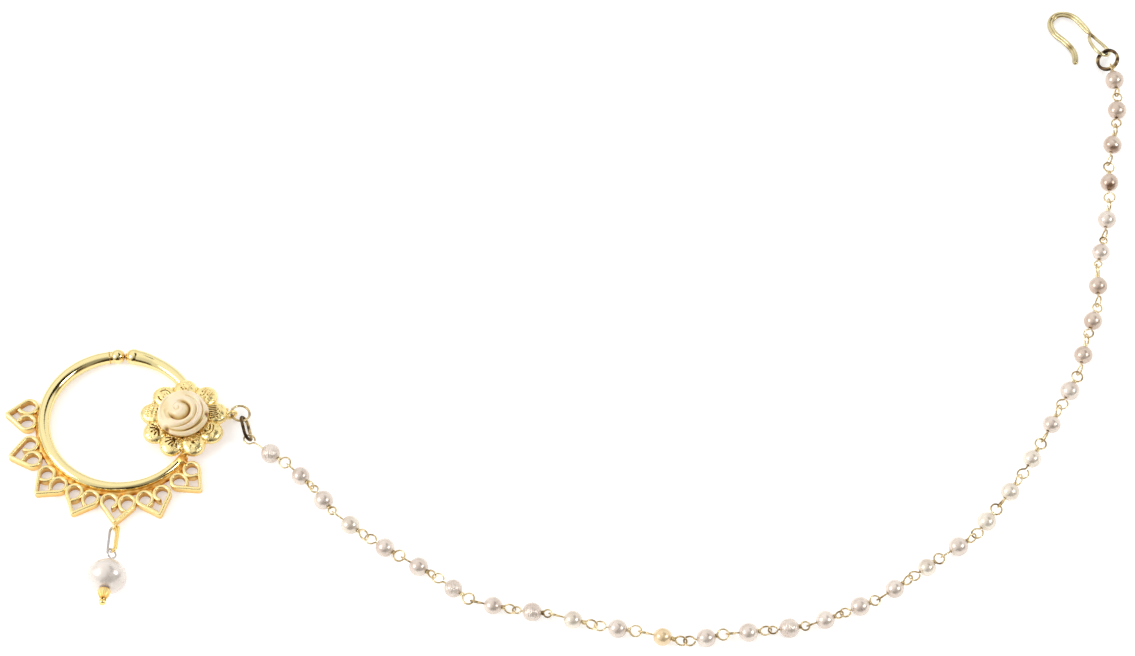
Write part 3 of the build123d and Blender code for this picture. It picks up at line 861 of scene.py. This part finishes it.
def chased_petal(bearing, strokes):
    """A puffed petal with its strokes sunk into it, flat below."""
    share = np.linspace(0.02, 1.0, PETAL_ROWS) ** 0.85
    reach, angle = np.meshgrid(share, spread_angles(PETAL_COLUMNS), indexing="ij")
    edge = petal_edge(angle, bearing)
    x, y = reach * PETAL_LONG * np.cos(angle) * edge, reach * PETAL_WIDE * np.sin(angle) * edge
    rise, reach = petal_rise(x, y, bearing)
    sunk = np.zeros_like(x)
    for s in strokes:
        a, b = np.array((s.x0, s.y0)), np.array((s.x1, s.y1))
        run = b - a
        t = clamped(((x - a[0]) * run[0] + (y - a[1]) * run[1]) / max(run @ run, 1e-9))
        gap = np.hypot(x - a[0] - t * run[0], y - a[1] - t * run[1])
        sunk = np.maximum(sunk, s.depth * np.exp(-((gap / s.width) ** 4)))
    sunk *= clamped((1 - reach) * 8)
    rise = rise - sunk
    top = np.stack((x, y, rise), -1).reshape(-1, 3)
    base = np.column_stack((x[-1] * 0.96, y[-1] * 0.96, np.full(PETAL_COLUMNS, -PETAL_SKIRT)))
    local = np.vstack((top, base, ((0, 0, rise[0].mean()), (0, 0, -PETAL_SKIRT))))
    # Sunk strokes are darker; the inner end, under the rose, and the outline are painted darker as
    # shade, and the flat underside is dark.
    worn_and_shaded = 1 - clamped(sunk / 0.10) - 0.62 * clamped(-0.35 - x) - 0.5 * clamped((reach - 0.92) * 10)
    wear = np.concatenate((worn_and_shaded.ravel(), np.full(PETAL_COLUMNS, 0.15), (1, 0.2)))
    return on_petal(bearing, local), skin(PETAL_ROWS + 1, PETAL_COLUMNS), wear


def on_petal(bearing, local):
    """A petal's own points (outward, aside, up) in the frame."""
    a = math.radians(bearing)
    out, side = np.array((math.cos(a), math.sin(a))), np.array((-math.sin(a), math.cos(a)))
    plan = ROSETTE + out * PETAL_SEAT + local[:, :1] * out + local[:, 1:2] * side
    return np.column_stack((plan, local[:, 2] + PETAL_BASE))


petals = Shape()
for bearing, strokes in PETAL_CHASING.items():
    rng = np.random.default_rng(600 + bearing)
    punched = pits(rng.uniform(-1.2, 1.2, (9, 2)), 0.075, 0.14)
    petals.add(*chased_petal(bearing, strokes + punched))
    spots = rng.uniform((-1.1, -1.5), (1.5, 1.5), (GRANULES[bearing], 2))
    heights, reach = petal_rise(spots[:, 0], spots[:, 1], bearing)
    places = on_petal(bearing, np.column_stack((spots, heights - 0.03)))
    for spot, radius in zip(places[reach < 0.9], rng.uniform(0.09, 0.17, len(spots))):
        petals.add(*ball(spot, radius, 6, 10), 0.95)
petals.build("rosette_petals", worked_gold, *IN_FRAME)

points, faces = turned(Plane((*ROSETTE, PLATE_BOTTOM), (0.0001, 0, 1)), PLATE_PROFILE, 120)
Shape().add(points, faces, 0.4).build("rosette_plate", worked_gold, *IN_FRAME)

granules = Shape()
rng = np.random.default_rng(7)
for angle in np.arange(0, 360, GRAIN_STEP):
    way = along(angle + rng.uniform(-1.5, 1.5))[:2]
    spot = ROSETTE + way * (GRAIN_RING + rng.uniform(-0.05, 0.16))
    radius = rng.uniform(0.15, 0.23)
    granules.add(*ball((*spot, GRAIN_HEIGHT + rng.uniform(-0.05, 0.45)), radius, 7, 12), 0.55)
for bearing in PETAL_CHASING:
    spot = ROSETTE + along(bearing + GAP_GRAIN_TURN)[:2] * GAP_GRAIN_RING
    granules.add(*ball((*spot, GAP_GRAIN_HEIGHT), GAP_GRAIN_RADIUS, 9, 16), 0.6)
for angle, reach, height in EYE_GRAINS:
    spot = ROSETTE + along(angle)[:2] * reach
    granules.add(*ball((*spot, height), EYE_GRAIN_RADIUS, 8, 14), 0.7)
granules.build("rosette_granules", worked_gold, *IN_FRAME)

# Eyes that carry the chain and the drop, the first with a granulated barrel behind it
eyes = Shape()
for lie, radius, wire in ((CHAIN_EYE, CHAIN_EYE_RADIUS, CHAIN_EYE_WIRE),
                          (DROP_EYE, DROP_EYE_RADIUS, DROP_EYE_WIRE)):
    plane = lying(lie)
    ring = plane.at(arc((0, 0), radius, 0, 360, 73)[:-1])
    points, faces = swept(ring, wire, round_section(16), closed=True, up=plane.z)
    eyes.add(points, faces, 0.75 + 0.3 * ripple(points, 1.0, 61))
eyes.build("soldered_eyes", worked_gold, *IN_FRAME)
barrel = Shape()
barrel_plane = Plane(lying(CHAIN_EYE).at((BARREL_REACH, 0, 0))[0], along(CHAIN_EYE.heading))
barrel.add(*turned(barrel_plane, BARREL_PROFILE, 40, lambda u, a: 1 + 0.05 * np.cos(9 * a)), 0.5)
for reach in BARREL_GRAIN_ROWS:
    for spot in ring_of(barrel_plane, reach, BARREL_GRAIN_RING, 9, reach * 60):
        barrel.add(*ball(spot, BARREL_GRAIN, 7, 12), 0.75)
barrel.build("chain_eye_barrel", worked_gold, *IN_FRAME)


# ---- Rose: a domed stone with petals carved round an off-centre bud ----
ROSE_FOLDS = [
    Fold(-0.75, 0.20, 0.28, 0.50, 60, -280, 0.11, -0.16),
    Fold(-0.70, 0.15, 0.55, 0.85, 120, -260, 0.20, 0.07),
    Fold(-0.55, 0.05, 0.98, 1.12, 170, -150, 0.10, -0.10),
    Fold(-0.40, -0.05, 1.50, 1.66, 112, -285, 0.26, -0.55),
    Fold(-0.35, -0.10, 1.98, 2.16, 100, -250, 0.26, 0.12),
    Fold(-0.35, -0.10, 2.35, 2.05, 168, 62, 0.24, -0.16),
    Fold(-0.45, 0.20, 2.50, 3.05, 22, -130, 0.11, -0.26),
    Fold(-0.45, 0.20, 2.72, 3.25, 25, -128, 0.15, 0.16),
    Fold(-0.55, 0.55, 2.95, 3.60, -42, -70, 0.10, -0.24),
    Fold(-0.35, 0.10, 3.05, 3.22, 62, -120, 0.18, 0.20),
    Fold(-0.30, 0.10, 3.34, 3.56, 38, -120, 0.12, -0.36),
    Fold(-0.10, 0.20, 3.56, 3.72, -14, -112, 0.14, -0.42),
    Fold(0.10, 0.00, 2.62, 2.52, 88, -42, 0.13, -0.14),
    Fold(-0.20, 0.00, 3.00, 3.30, 212, -92, 0.18, -0.15),
    Fold(-0.20, 0.00, 3.30, 3.50, 178, -58, 0.16, 0.10),
]
ROSE_NOTCHES = [Notch(3.84, -0.42, 0.42, 0.5), Notch(-2.35, -3.14, 0.42, 0.5)]
ROSE_BELLY, ROSE_BELLY_HEIGHT, ROSE_ROWS, ROSE_COLUMNS = 3.92, 1.55, 110, 200
BUD_PLACE, BUD_WIDTH, BUD_HEIGHT = (-0.75, 0.2), 0.45, 0.12
ROSE_FOOT = [
    (3.86, 1.3), (3.7, 1.0), (3.5, 0.85), (3.35, 0.75), (3.35, 0.3), (3.30, 0.05), (3.15, 0.0),
]
rose_low, rose_high = (np.array(v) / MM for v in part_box("carved_rose"))
rose_centre = (rose_low + rose_high) / 2 + (0, -0.25, 0)
rose_bottom, rose_rise = rose_low[2], rose_high[2] - rose_low[2]


def fold_depth(fold, x, y):
    """How far one fold raises or sinks the stone at each point in plan."""
    dx, dy = x - fold.x, y - fold.y
    sweep = abs(fold.sweep)
    angle = (np.degrees(np.arctan2(dy, dx)) - fold.start) * np.sign(fold.sweep) % 360
    share = np.where(angle > (sweep + 360) / 2, angle - 360, angle) / sweep
    inside = clamped(share)
    off = np.radians(abs(share - inside) * sweep) * np.hypot(dx, dy)
    gap = np.hypot(dx, dy) - (fold.start_radius + (fold.end_radius - fold.start_radius) * inside)
    steep = np.where(gap < 0, 1.5, 0.6) if fold.depth < 0 else np.where(gap < 0, 0.6, 1.5)
    fade = clamped(np.minimum(inside, 1 - inside) * 7) * np.exp(-((off / 0.35) ** 2))
    return fold.depth * np.exp(-np.abs(gap / (fold.width * steep)) ** 1.6) * fade


def hill(x, y, at_x, at_y, width):
    """A soft round hill of height 1."""
    return np.exp(-(((x - at_x) / width) ** 2 + ((y - at_y) / width) ** 2))


share = np.linspace(0.012, 1, ROSE_ROWS) ** 0.9
share, angle = np.meshgrid(share, spread_angles(ROSE_COLUMNS), indexing="ij")
outline = ROSE_BELLY * share * (1 + 0.018 * np.cos(3 * angle + 0.8) + 0.012 * np.cos(5 * angle))
x, y = outline * np.cos(angle), outline * np.sin(angle)
top = ROSE_BELLY_HEIGHT + (rose_rise - ROSE_BELLY_HEIGHT) * (1 - share ** 1.41) ** 0.5
carve = sum(fold_depth(fold, x, y) for fold in ROSE_FOLDS)
hollow = sum(-notch.depth * hill(x, y, notch.x, notch.y, notch.width) for notch in ROSE_NOTCHES)
depth = carve + BUD_HEIGHT * hill(x, y, *BUD_PLACE, BUD_WIDTH) + hollow
lean = clamped((share - 0.75) / 0.25)
inward = depth * lean * 0.7
x, y = x + inward * np.cos(angle), y + inward * np.sin(angle)
z = np.minimum(top + depth * (1 - 0.6 * lean), rose_rise + 0.06)
dome = np.stack((x, y, z), -1).reshape(-1, 3)
# Grooves and notches are painted darker and ochre, as shade, and raised lips lighter and rosier, as a
# painted highlight; the noise clouds the cream.
worn_and_shaded = 0.80 + 1.45 * np.minimum(carve, 0) + 0.8 * np.maximum(carve, 0) + 2.4 * hollow
worn_and_shaded = worn_and_shaded.ravel() + 0.10 * ripple(dome, 3.0, 15)
circle = round_section(ROSE_COLUMNS)
foot = [np.insert(circle * radius, 2, height, axis=1) for radius, height in ROSE_FOOT]
local = np.vstack((dome, *foot, ((0, 0, z[0].mean()), (0, 0, 0))))
wear = np.concatenate((worn_and_shaded, np.full(len(ROSE_FOOT) * ROSE_COLUMNS, 0.45), (0.7, 0.4)))
faces = skin(ROSE_ROWS + len(ROSE_FOOT), ROSE_COLUMNS)
body = local + (rose_centre[0], rose_centre[1], rose_bottom)
Shape().add(body, faces, wear).build("rose", carved_ivory, "carved_stone", "carved_rose")


# ---- Rings and links ----
def cut_ring(plane, radius, wire, gap_angle):
    """A jump ring of round wire with a fine cut where its ends meet."""
    line = arc((0, 0), radius, gap_angle + 1.2, gap_angle + 358.8, 120)
    return swept(plane.at(line), wire, round_section(16), up=plane.z, cap_steps=2)


def oval_link(lie, straight, bend, wire):
    """An oval link: its plane, points and faces, and how far each point is across."""
    plane = lying(lie)
    line = plane.at(oval(straight, bend))
    points, faces = swept(line, wire, round_section(16), closed=True, up=plane.z)
    return plane, points, faces, (points - plane.origin) @ plane.y


points, faces = cut_ring(lying(CHAIN_RING), CHAIN_RING_RADIUS, CHAIN_RING_WIRE, 70)
ring = Shape().add(points, faces, 0.55 + 0.4 * ripple(points, 2.0, 51))
ring.build("chain_jump_ring", wire_gold, "wire", "chain_ring")

link_sizes = (CHAIN_LINK_STRAIGHT, CHAIN_LINK_BEND, CHAIN_LINK_WIRE)
plane, points, faces, across = oval_link(CHAIN_LINK, *link_sizes)
link = Shape().add(points, faces, 0.45 + 0.3 * across + 0.3 * ripple(points, 1.6, 53))
link.build("chain_start_link", old_brass, "dark_brass", "chain_link")

ring_sizes = (DROP_RING_STRAIGHT, DROP_RING_BEND, DROP_RING_WIRE)
plane, points, faces, across = oval_link(DROP_RING, *ring_sizes)
hanger = Shape().add(points, faces, 0.5 + 0.9 * across)
half, bend = DROP_RING_STRAIGHT / 2, DROP_RING_BEND - 0.34
strand = joined(arc((half, 0), bend, 10, 90, 14), arc((-half, 0), bend, 90, 170, 14))
hanger.add(*swept(plane.at(resampled(strand, 0.09)), 0.19, round_section(14), up=plane.z), 0.95)
hanger.build("drop_hanger", plated_ring, "gold", "drop_ring")

# Split ring: two turns, which step over each other on one side
plane = lying(END_RING)
turns = np.linspace(0, 2 * 360 * 1.01, 300)
step = END_RING_SPACING / 2
rise = np.interp(turns, (0, 300, 420, turns[-1]), (-step, -step, step, step))
line = arc((0, 0), END_RING_RADIUS, 0, turns[-1], 300)
line = plane.at(np.column_stack((line, softened(rise[:, None], 30)[:, 0])))
wire = END_RING_WIRE * (1 + 0.03 * ripple(line, 1.5, 57))
points, faces = swept(line, wire, round_section(14), up=plane.z)
split = Shape().add(points, faces, 0.45 + 0.45 * ripple(points, 1.1, 59))
split.build("hook_split_ring", old_brass, "dark_brass", "end_ring")


# ---- Hair hook: one closed run of wire, folded, crossed at the neck, opened into the eye ----
def folded_shank():
    """The doubled wire from the neck to the fold and back, in the hook's own plane."""
    runs = [np.linspace((0, 0), HOOK_SHANK, 24)]
    heading = unit(HOOK_SHANK)
    for end in HOOK_BENDS:
        run, heading = tangent_arc(runs[-1][-1], heading, end)
        runs.append(run)
    shank = resampled(joined(*runs), 0.12)
    forward = unit(np.gradient(shank, axis=0))
    aside = np.column_stack((-forward[:, 1], forward[:, 0]))
    fan_in = clamped(np.arange(len(shank)) / 8)
    spread = HOOK_SPREAD * (1 - 0.22 * np.linspace(0, 1, len(shank)) ** 4) * fan_in
    offset, lift = aside * spread[:, None], NECK_LIFT * (1 - fan_in)
    turn = np.radians(np.linspace(90, -90, 12))[1:-1]
    fold = np.outer(np.cos(turn), forward[-1]) + np.outer(np.sin(turn), aside[-1])
    one = np.column_stack((shank + offset, lift))
    other = np.column_stack((shank - offset, -lift))
    return np.vstack((one, spatial(shank[-1] + fold * spread[-1]), other[::-1]))


def teardrop_eye():
    """The hook's eye, in its own plane, fuller on one flank."""
    flank = math.degrees(math.asin(HOOK_EYE_BEND / HOOK_EYE_LENGTH))
    bend = arc((HOOK_EYE_LENGTH, 0), HOOK_EYE_BEND, -(flank + 55), flank + 90, 60)
    full = bent(*HOOK_FULL_FLANK, bend[0] - 1.5 * unit(bend[1] - bend[0]), bend[0])
    lean = bent(bend[-1], bend[-1] + 0.9 * unit(bend[-1] - bend[-2]), *HOOK_LEAN_FLANK)
    return np.vstack((full, bend, lean))


hook_eye = lying(HOOK_EYE._replace(roll=HOOK_EYE.roll - HOOK_EYE_LAY))
neck = hook_eye.origin
hook_x = unit((1, 0, HOOK_SLOPE[0]))
hook_z = unit((-HOOK_SLOPE[0], -HOOK_SLOPE[1], 1))
hook_y = np.cross(hook_z, hook_x)
doubled = neck + folded_shank() @ np.array((hook_x, hook_y, hook_z))
closed_wire = np.vstack((doubled[3:-3], hook_eye.at(teardrop_eye())))
closed_wire = softened(resampled(closed_wire, 0.11, closed=True), 14, closed=True)
points, faces = swept(closed_wire, HOOK_WIRE, round_section(16), closed=True)
points = rested(points, 0.002)
nearest = np.repeat(closed_wire, len(points) // len(closed_wire), axis=0)
upward = (points - nearest)[:, 2] / HOOK_WIRE
# The wire is painted darker on its lower half, as shade.
wear = 0.88 + 0.14 * ripple(points, 3.0, 63) - 0.4 * (1 - clamped(upward)) ** 1.5
in_hook = (points - neck) @ np.array((hook_x, hook_y)).T
for stain in HOOK_STAINS:
    off_stain = np.linalg.norm(in_hook - stain.spot, axis=1)
    wear -= stain.depth * np.exp(-((off_stain / stain.radius) ** 2))
Shape().add(points, faces, wear).build("hair_hook_wire", hook_gold, "gold", "hair_hook")


# ---- Drop: pearl, lobed bead and head pin ----
drop_plane = lying(DROP)
points, faces = drilled(drop_plane, DROP_HALF_LENGTH, DROP_RADIUS, DROP_BORE, 60, 96)
points = rested(lumpy(points, drop_plane.origin, 0.035, 4.5, 71), PEARL_REST)
pearl = Shape().add(points, faces, 0.75 + 0.25 * ripple(points, 4.0, 73))
pearl.build("drop_round_pearl", white_nacre, "pearl", "drop_pearl")


def lobes(along_bead, angle):
    """The bead's eight lobes, fainter towards the pearl."""
    return 1 - 0.11 * clamped((along_bead + 1.0) * 1.2) * np.abs(np.sin(4 * angle)) ** 6


bead_plane = drop_plane.moved(BEAD_REACH)
profile = resampled(np.array(BEAD_PROFILE), 0.07, closed=True)
points, faces = turned(bead_plane, softened(profile, 2, closed=True), 96, lobes, closed=True)
# The bead is painted darker at the end next to the pearl, as the pearl's shadow, and darker nearer its
# axis.
shaded = 0.45 * clamped((-0.25 - bead_plane.ahead(points)) / 0.6)
bead = Shape().add(points, faces, (bead_plane.off_axis(points) - 0.25) * 1.05 - shaded)
bead.build("drop_lobed_bead", worked_gold, "gold", "drop_bead")

pin = Shape()
pin_eye = Plane(drop_plane.moved(-PIN_EYE_REACH).origin, drop_plane.x, PIN_EYE_ROLL)
loop = arc((0, 0), PIN_EYE_RADIUS, 28, 350, 70)
stem = np.linspace((HEAD_REACH + PIN_EYE_REACH - 0.2, 0), (PIN_EYE_RADIUS + 0.5, 0), 60)
path = softened(resampled(joined(stem, (PIN_EYE_RADIUS + 0.1, 0.12), loop), 0.07), 5)
points, faces = swept(pin_eye.at(path), PIN_WIRE, round_section(12), up=pin_eye.z)
pin.add(points, faces, np.where(pin_eye.ahead(points) < 1.6, 0.15, 0.9))
head = drop_plane.moved(HEAD_REACH)
profile = half_round(22) * (HEAD_RADIUS * 0.85, HEAD_RADIUS)
profile[-5:, 0] -= np.linspace(0.0, 0.16, 5)
pin.add(*turned(head, profile, 36), 0.9)
for spot in ring_of(head, -0.42, 0.42, 6):
    pin.add(*ball(spot, 0.16, 7, 12), 0.8)
pin.build("drop_head_pin", plated_ring, "gold", "drop_pin")


# ---- Hair chain: off-round pearls on wires with an eye at each end and a wrap on one side ----
PEARL_KINDS = {12: cream_nacre}
PEARL_KINDS.update(dict.fromkeys((1, 7, 9, 15), crackled_nacre))
PEARL_KINDS.update(dict.fromkeys((4, 10, 19, 21, 22, 23), pale_nacre))
PEARL_KINDS.update(dict.fromkeys((26, 27, 28, 31, 32, 33, 34), dusky_nacre))
STAINED_PEARLS = {31, 32}
STAIN_WAY = (0.1, -0.86, 0.5)
chain_nodes = ("chain_wires_odd", "chain_wires_even")
wire_points = [mesh_points(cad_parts[node].data) for node in chain_nodes]
pearl_boxes = [[np.array(v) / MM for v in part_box(f"pearl_{n + 1:02d}")] for n in range(PEARLS)]
pearl_centres = [(low + high) / 2 for low, high in pearl_boxes]
chain_wires = [Shape(), Shape()]


def wire_of(index):
    """The CAD wire through one pearl: its way, and for each end its reach, eye radius and tilt."""
    centre = pearl_centres[index]
    near = wire_points[index % 2]
    near = near[np.linalg.norm(near - centre, axis=1) < WIRE_REACH] - centre
    axis = np.linalg.eigh(near.T @ near)[1][:, -1]
    after = index + 1 if index + 1 < PEARLS else index
    forward = pearl_centres[after] - pearl_centres[after - 1]
    axis = unit(axis * (1, 1, 0) * np.sign(axis @ forward))
    ends = []
    for side in (-1, 1):
        ahead = near @ axis * side
        reach = ahead.max() - CHAIN_WIRE
        out = near[ahead > reach - 1.0]
        out = out - np.outer(out @ axis, axis)
        tilt = np.linalg.eigh(out.T @ out)[1][:, -1]
        ends.append((reach, np.linalg.norm(out, axis=1).max() - CHAIN_WIRE, tilt))
    return axis, ends


def eye_path(reach, radius, closing):
    """Half a pearl's wire in its eye's plane: the stem, the eye and its closing end."""
    neck_x = reach - 2 * radius
    loop = arc((reach - radius, 0), radius, 148, -155, 60)
    runs = [(neck_x - 0.25, 0.0), (neck_x - 0.05, 0.05), loop] + [(neck_x + 0.06, -0.10)] * closing
    return joined(*runs)


def wrap(centre, axis, tilt, start, stop):
    """The turns of a wire's end round its own stem."""
    share = np.linspace(0, 1, 56)
    spin = share * WRAP_TURNS * 2 * math.pi - math.pi / 2
    coil = np.outer(np.sin(spin), tilt) + np.outer(np.cos(spin), np.cross(axis, tilt))
    return centre + np.outer(start + (stop - start) * share, axis) + WRAP_RADIUS * coil


for index in range(PEARLS):
    low, high = pearl_boxes[index]
    centre, radius = pearl_centres[index], (high - low)[2] / 2
    axis, ends = wire_of(index)
    plane = Plane(centre, axis)
    points, faces = drilled(plane, radius, radius, PEARL_BORE, 32, 52)
    rng = np.random.default_rng(200 + index)
    away = unit(points - centre)
    swell = 0.018 * ripple(points, 4.2, 300 + index) + 0.02 * (away @ unit(rng.normal(size=3)))
    points = rested(points + away * (swell * radius - 0.02 * radius)[:, None], PEARL_REST)
    bore_rim = np.exp(-(((plane.off_axis(points) - PEARL_BORE) / 0.14) ** 2))
    wear = 0.72 + 0.25 * ripple(points, 3.0, 400 + index) - 0.9 * bore_rim
    number = index + 1
    if number in STAINED_PEARLS:
        off_stain = np.linalg.norm(away - unit(STAIN_WAY), axis=1)
        wear = clamped(wear) - 1.4 * np.exp(-((off_stain / 0.4) ** 2))
    pearl = Shape().add(points, faces, wear)
    finish = PEARL_KINDS.get(number, pink_nacre)
    pearl.build(f"round_pearl_{number:02d}", finish, "pearl", f"pearl_{number:02d}")

    runs = []
    for side, (reach, eye_radius, tilt) in zip((-1, 1), ends):
        path = eye_path(reach, eye_radius, side > 0)
        runs.append(centre + np.outer(path[:, 0] * side, axis) + np.outer(path[:, 1], tilt))
    runs.append(wrap(centre, axis, tilt, reach - 2 * eye_radius - 0.02, radius + 0.07))
    line = softened(resampled(np.vstack((runs[0][::-1], *runs[1:])), 0.085), 3)
    points, faces = swept(line, CHAIN_WIRE * 0.97, round_section(9))
    chain_wires[index % 2].add(points, faces, 0.6 + 0.35 * ripple(points, 2.5, 500 + index))
for shape, node in zip(chain_wires, chain_nodes):
    shape.build(node.replace("chain_wires", "eyed_wires"), wire_gold, "wire", node)


# ---- Floor, light and camera ----
FLOOR_HALF, FLOOR_DROP = 1.6, 0.00003
TENT_STRENGTH = 0.89
TENT_TINTS = [(0.0, (1.0, 0.68, 0.34)), (0.45, (1.0, 0.99, 0.975))]
TENT_PATCHES = [
    Patch((-0.30, 0.42, 0.86), 22, 48, 1.3),
    Patch((-0.80, -0.10, 0.58), 20, 42, 1.05),
    Patch((0.72, 0.45, 0.52), 18, 40, 1.25),
    Patch((0.17, 0.48, 0.86), 2, 7, 0.30),
    Patch((0.27, 0.41, 0.87), 4, 10, 0.14),
    Patch((0.39, 0.26, 0.88), 9, 16, 0.03),
    Patch((0.56, -0.06, 0.82), 12, 20, 0.05),
    Patch((0.86, -0.36, 0.36), 15, 29, 0.06),
    Patch((0.45, -0.65, 0.60), 22, 44, 0.42),
    Patch((0.02, -0.82, 0.57), 6, 18, 0.35),
    Patch((0.0, -1.0, 0.08), 22, 42, 0.09),
]
LIGHT_BOXES = [
    LightBox("box_left", (-0.66, -0.20, 0.42), 0.34, 2.2),
    LightBox("box_right", (0.59, -0.24, 0.49), 0.30, 2.0),
]
CAMERA_ELEVATION, CAMERA_DISTANCE, CAMERA_LENS, CAMERA_SENSOR = 59.0, 620.0, 126.9, 36
AIM_OFFSET = (-1.7, -1.9)


def pale_floor():
    """A plain pale floor."""
    finish = Finish("pale_floor")
    tints = [(0.0, (0.82, 0.82, 0.82)), (1.0, (0.84, 0.84, 0.835))]
    finish.shade(Base_Color=finish.ramp(finish.noise(90.0), tints), Roughness=0.7,
                 Emission_Color=(1, 1, 1, 1), Emission_Strength=0.4)
    mesh = bpy.data.meshes.new("floor")
    ways = ((-1, -1), (1, -1), (1, 1), (-1, 1))
    corners = [(x * FLOOR_HALF, y * FLOOR_HALF, -FLOOR_DROP) for x, y in ways]
    mesh.from_pydata(corners, [], [(0, 1, 2, 3)])
    mesh.materials.append(finish.material)
    linked("floor", mesh)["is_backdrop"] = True


def tent_world():
    """A light tent: each patch of sky is brighter or darker than the rest by its factor."""
    world = bpy.data.worlds.new("tent")
    world.use_nodes = True
    bpy.context.scene.world = world
    world.node_tree.nodes.clear()
    tent = Nodes(world.node_tree)

    def product(one, two):
        return tent.node("ShaderNodeMath", {0: one, 1: two}, operation="MULTIPLY").outputs[0]

    direction = tent.node("ShaderNodeTexCoord").outputs["Generated"]
    patches = []
    for patch in TENT_PATCHES:
        ways = {0: direction, 1: tuple(unit(patch.way))}
        nearness = tent.node("ShaderNodeVectorMath", ways, operation="DOT_PRODUCT").outputs["Value"]
        limits = {"Value": nearness, "To Min": 1.0, "To Max": patch.factor,
                  "From Min": math.cos(math.radians(patch.outer)),
                  "From Max": math.cos(math.radians(patch.inner))}
        spread = tent.node("ShaderNodeMapRange", limits, interpolation_type="SMOOTHSTEP")
        patches.append(spread.outputs[0])
    shade = reduce(product, patches)
    light = {"Color": tent.ramp(shade, TENT_TINTS), "Strength": product(shade, TENT_STRENGTH)}
    background = tent.node("ShaderNodeBackground", light).outputs[0]
    tent.node("ShaderNodeOutputWorld", {"Surface": background})


def area_light(target, name, offset, size, power):
    """A soft square light, turned to a target."""
    data = bpy.data.lights.new(name, "AREA")
    data.shape, data.size, data.energy = "SQUARE", size, power
    light = linked(name, data)
    light.location = target + offset
    light.rotation_euler = Vector((-unit(offset)).tolist()).to_track_quat("-Z", "Y").to_euler()


pale_floor()
tent_world()
middle = (np.array(cad_low) + np.array(cad_high)) / 2
aim = np.append(middle[:2] + np.array(AIM_OFFSET) * MM, 0)
for box in LIGHT_BOXES:
    area_light(aim, *box)
elevation = math.radians(CAMERA_ELEVATION)
lens_way = np.array((0, -math.cos(elevation), math.sin(elevation)))
camera_data = bpy.data.cameras.new("camera")
camera_data.lens = CAMERA_LENS
camera_data.sensor_width = CAMERA_SENSOR
camera_data.sensor_fit = "HORIZONTAL"
camera_data.clip_start, camera_data.clip_end = 0.05, 10
camera = linked("camera", camera_data)
camera.location = (aim + lens_way * CAMERA_DISTANCE * MM).tolist()
camera.rotation_euler = (math.radians(90 - CAMERA_ELEVATION), 0, 0)
bpy.context.scene.camera = camera
bpy.context.scene.view_settings.view_transform = "Standard"

low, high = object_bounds()
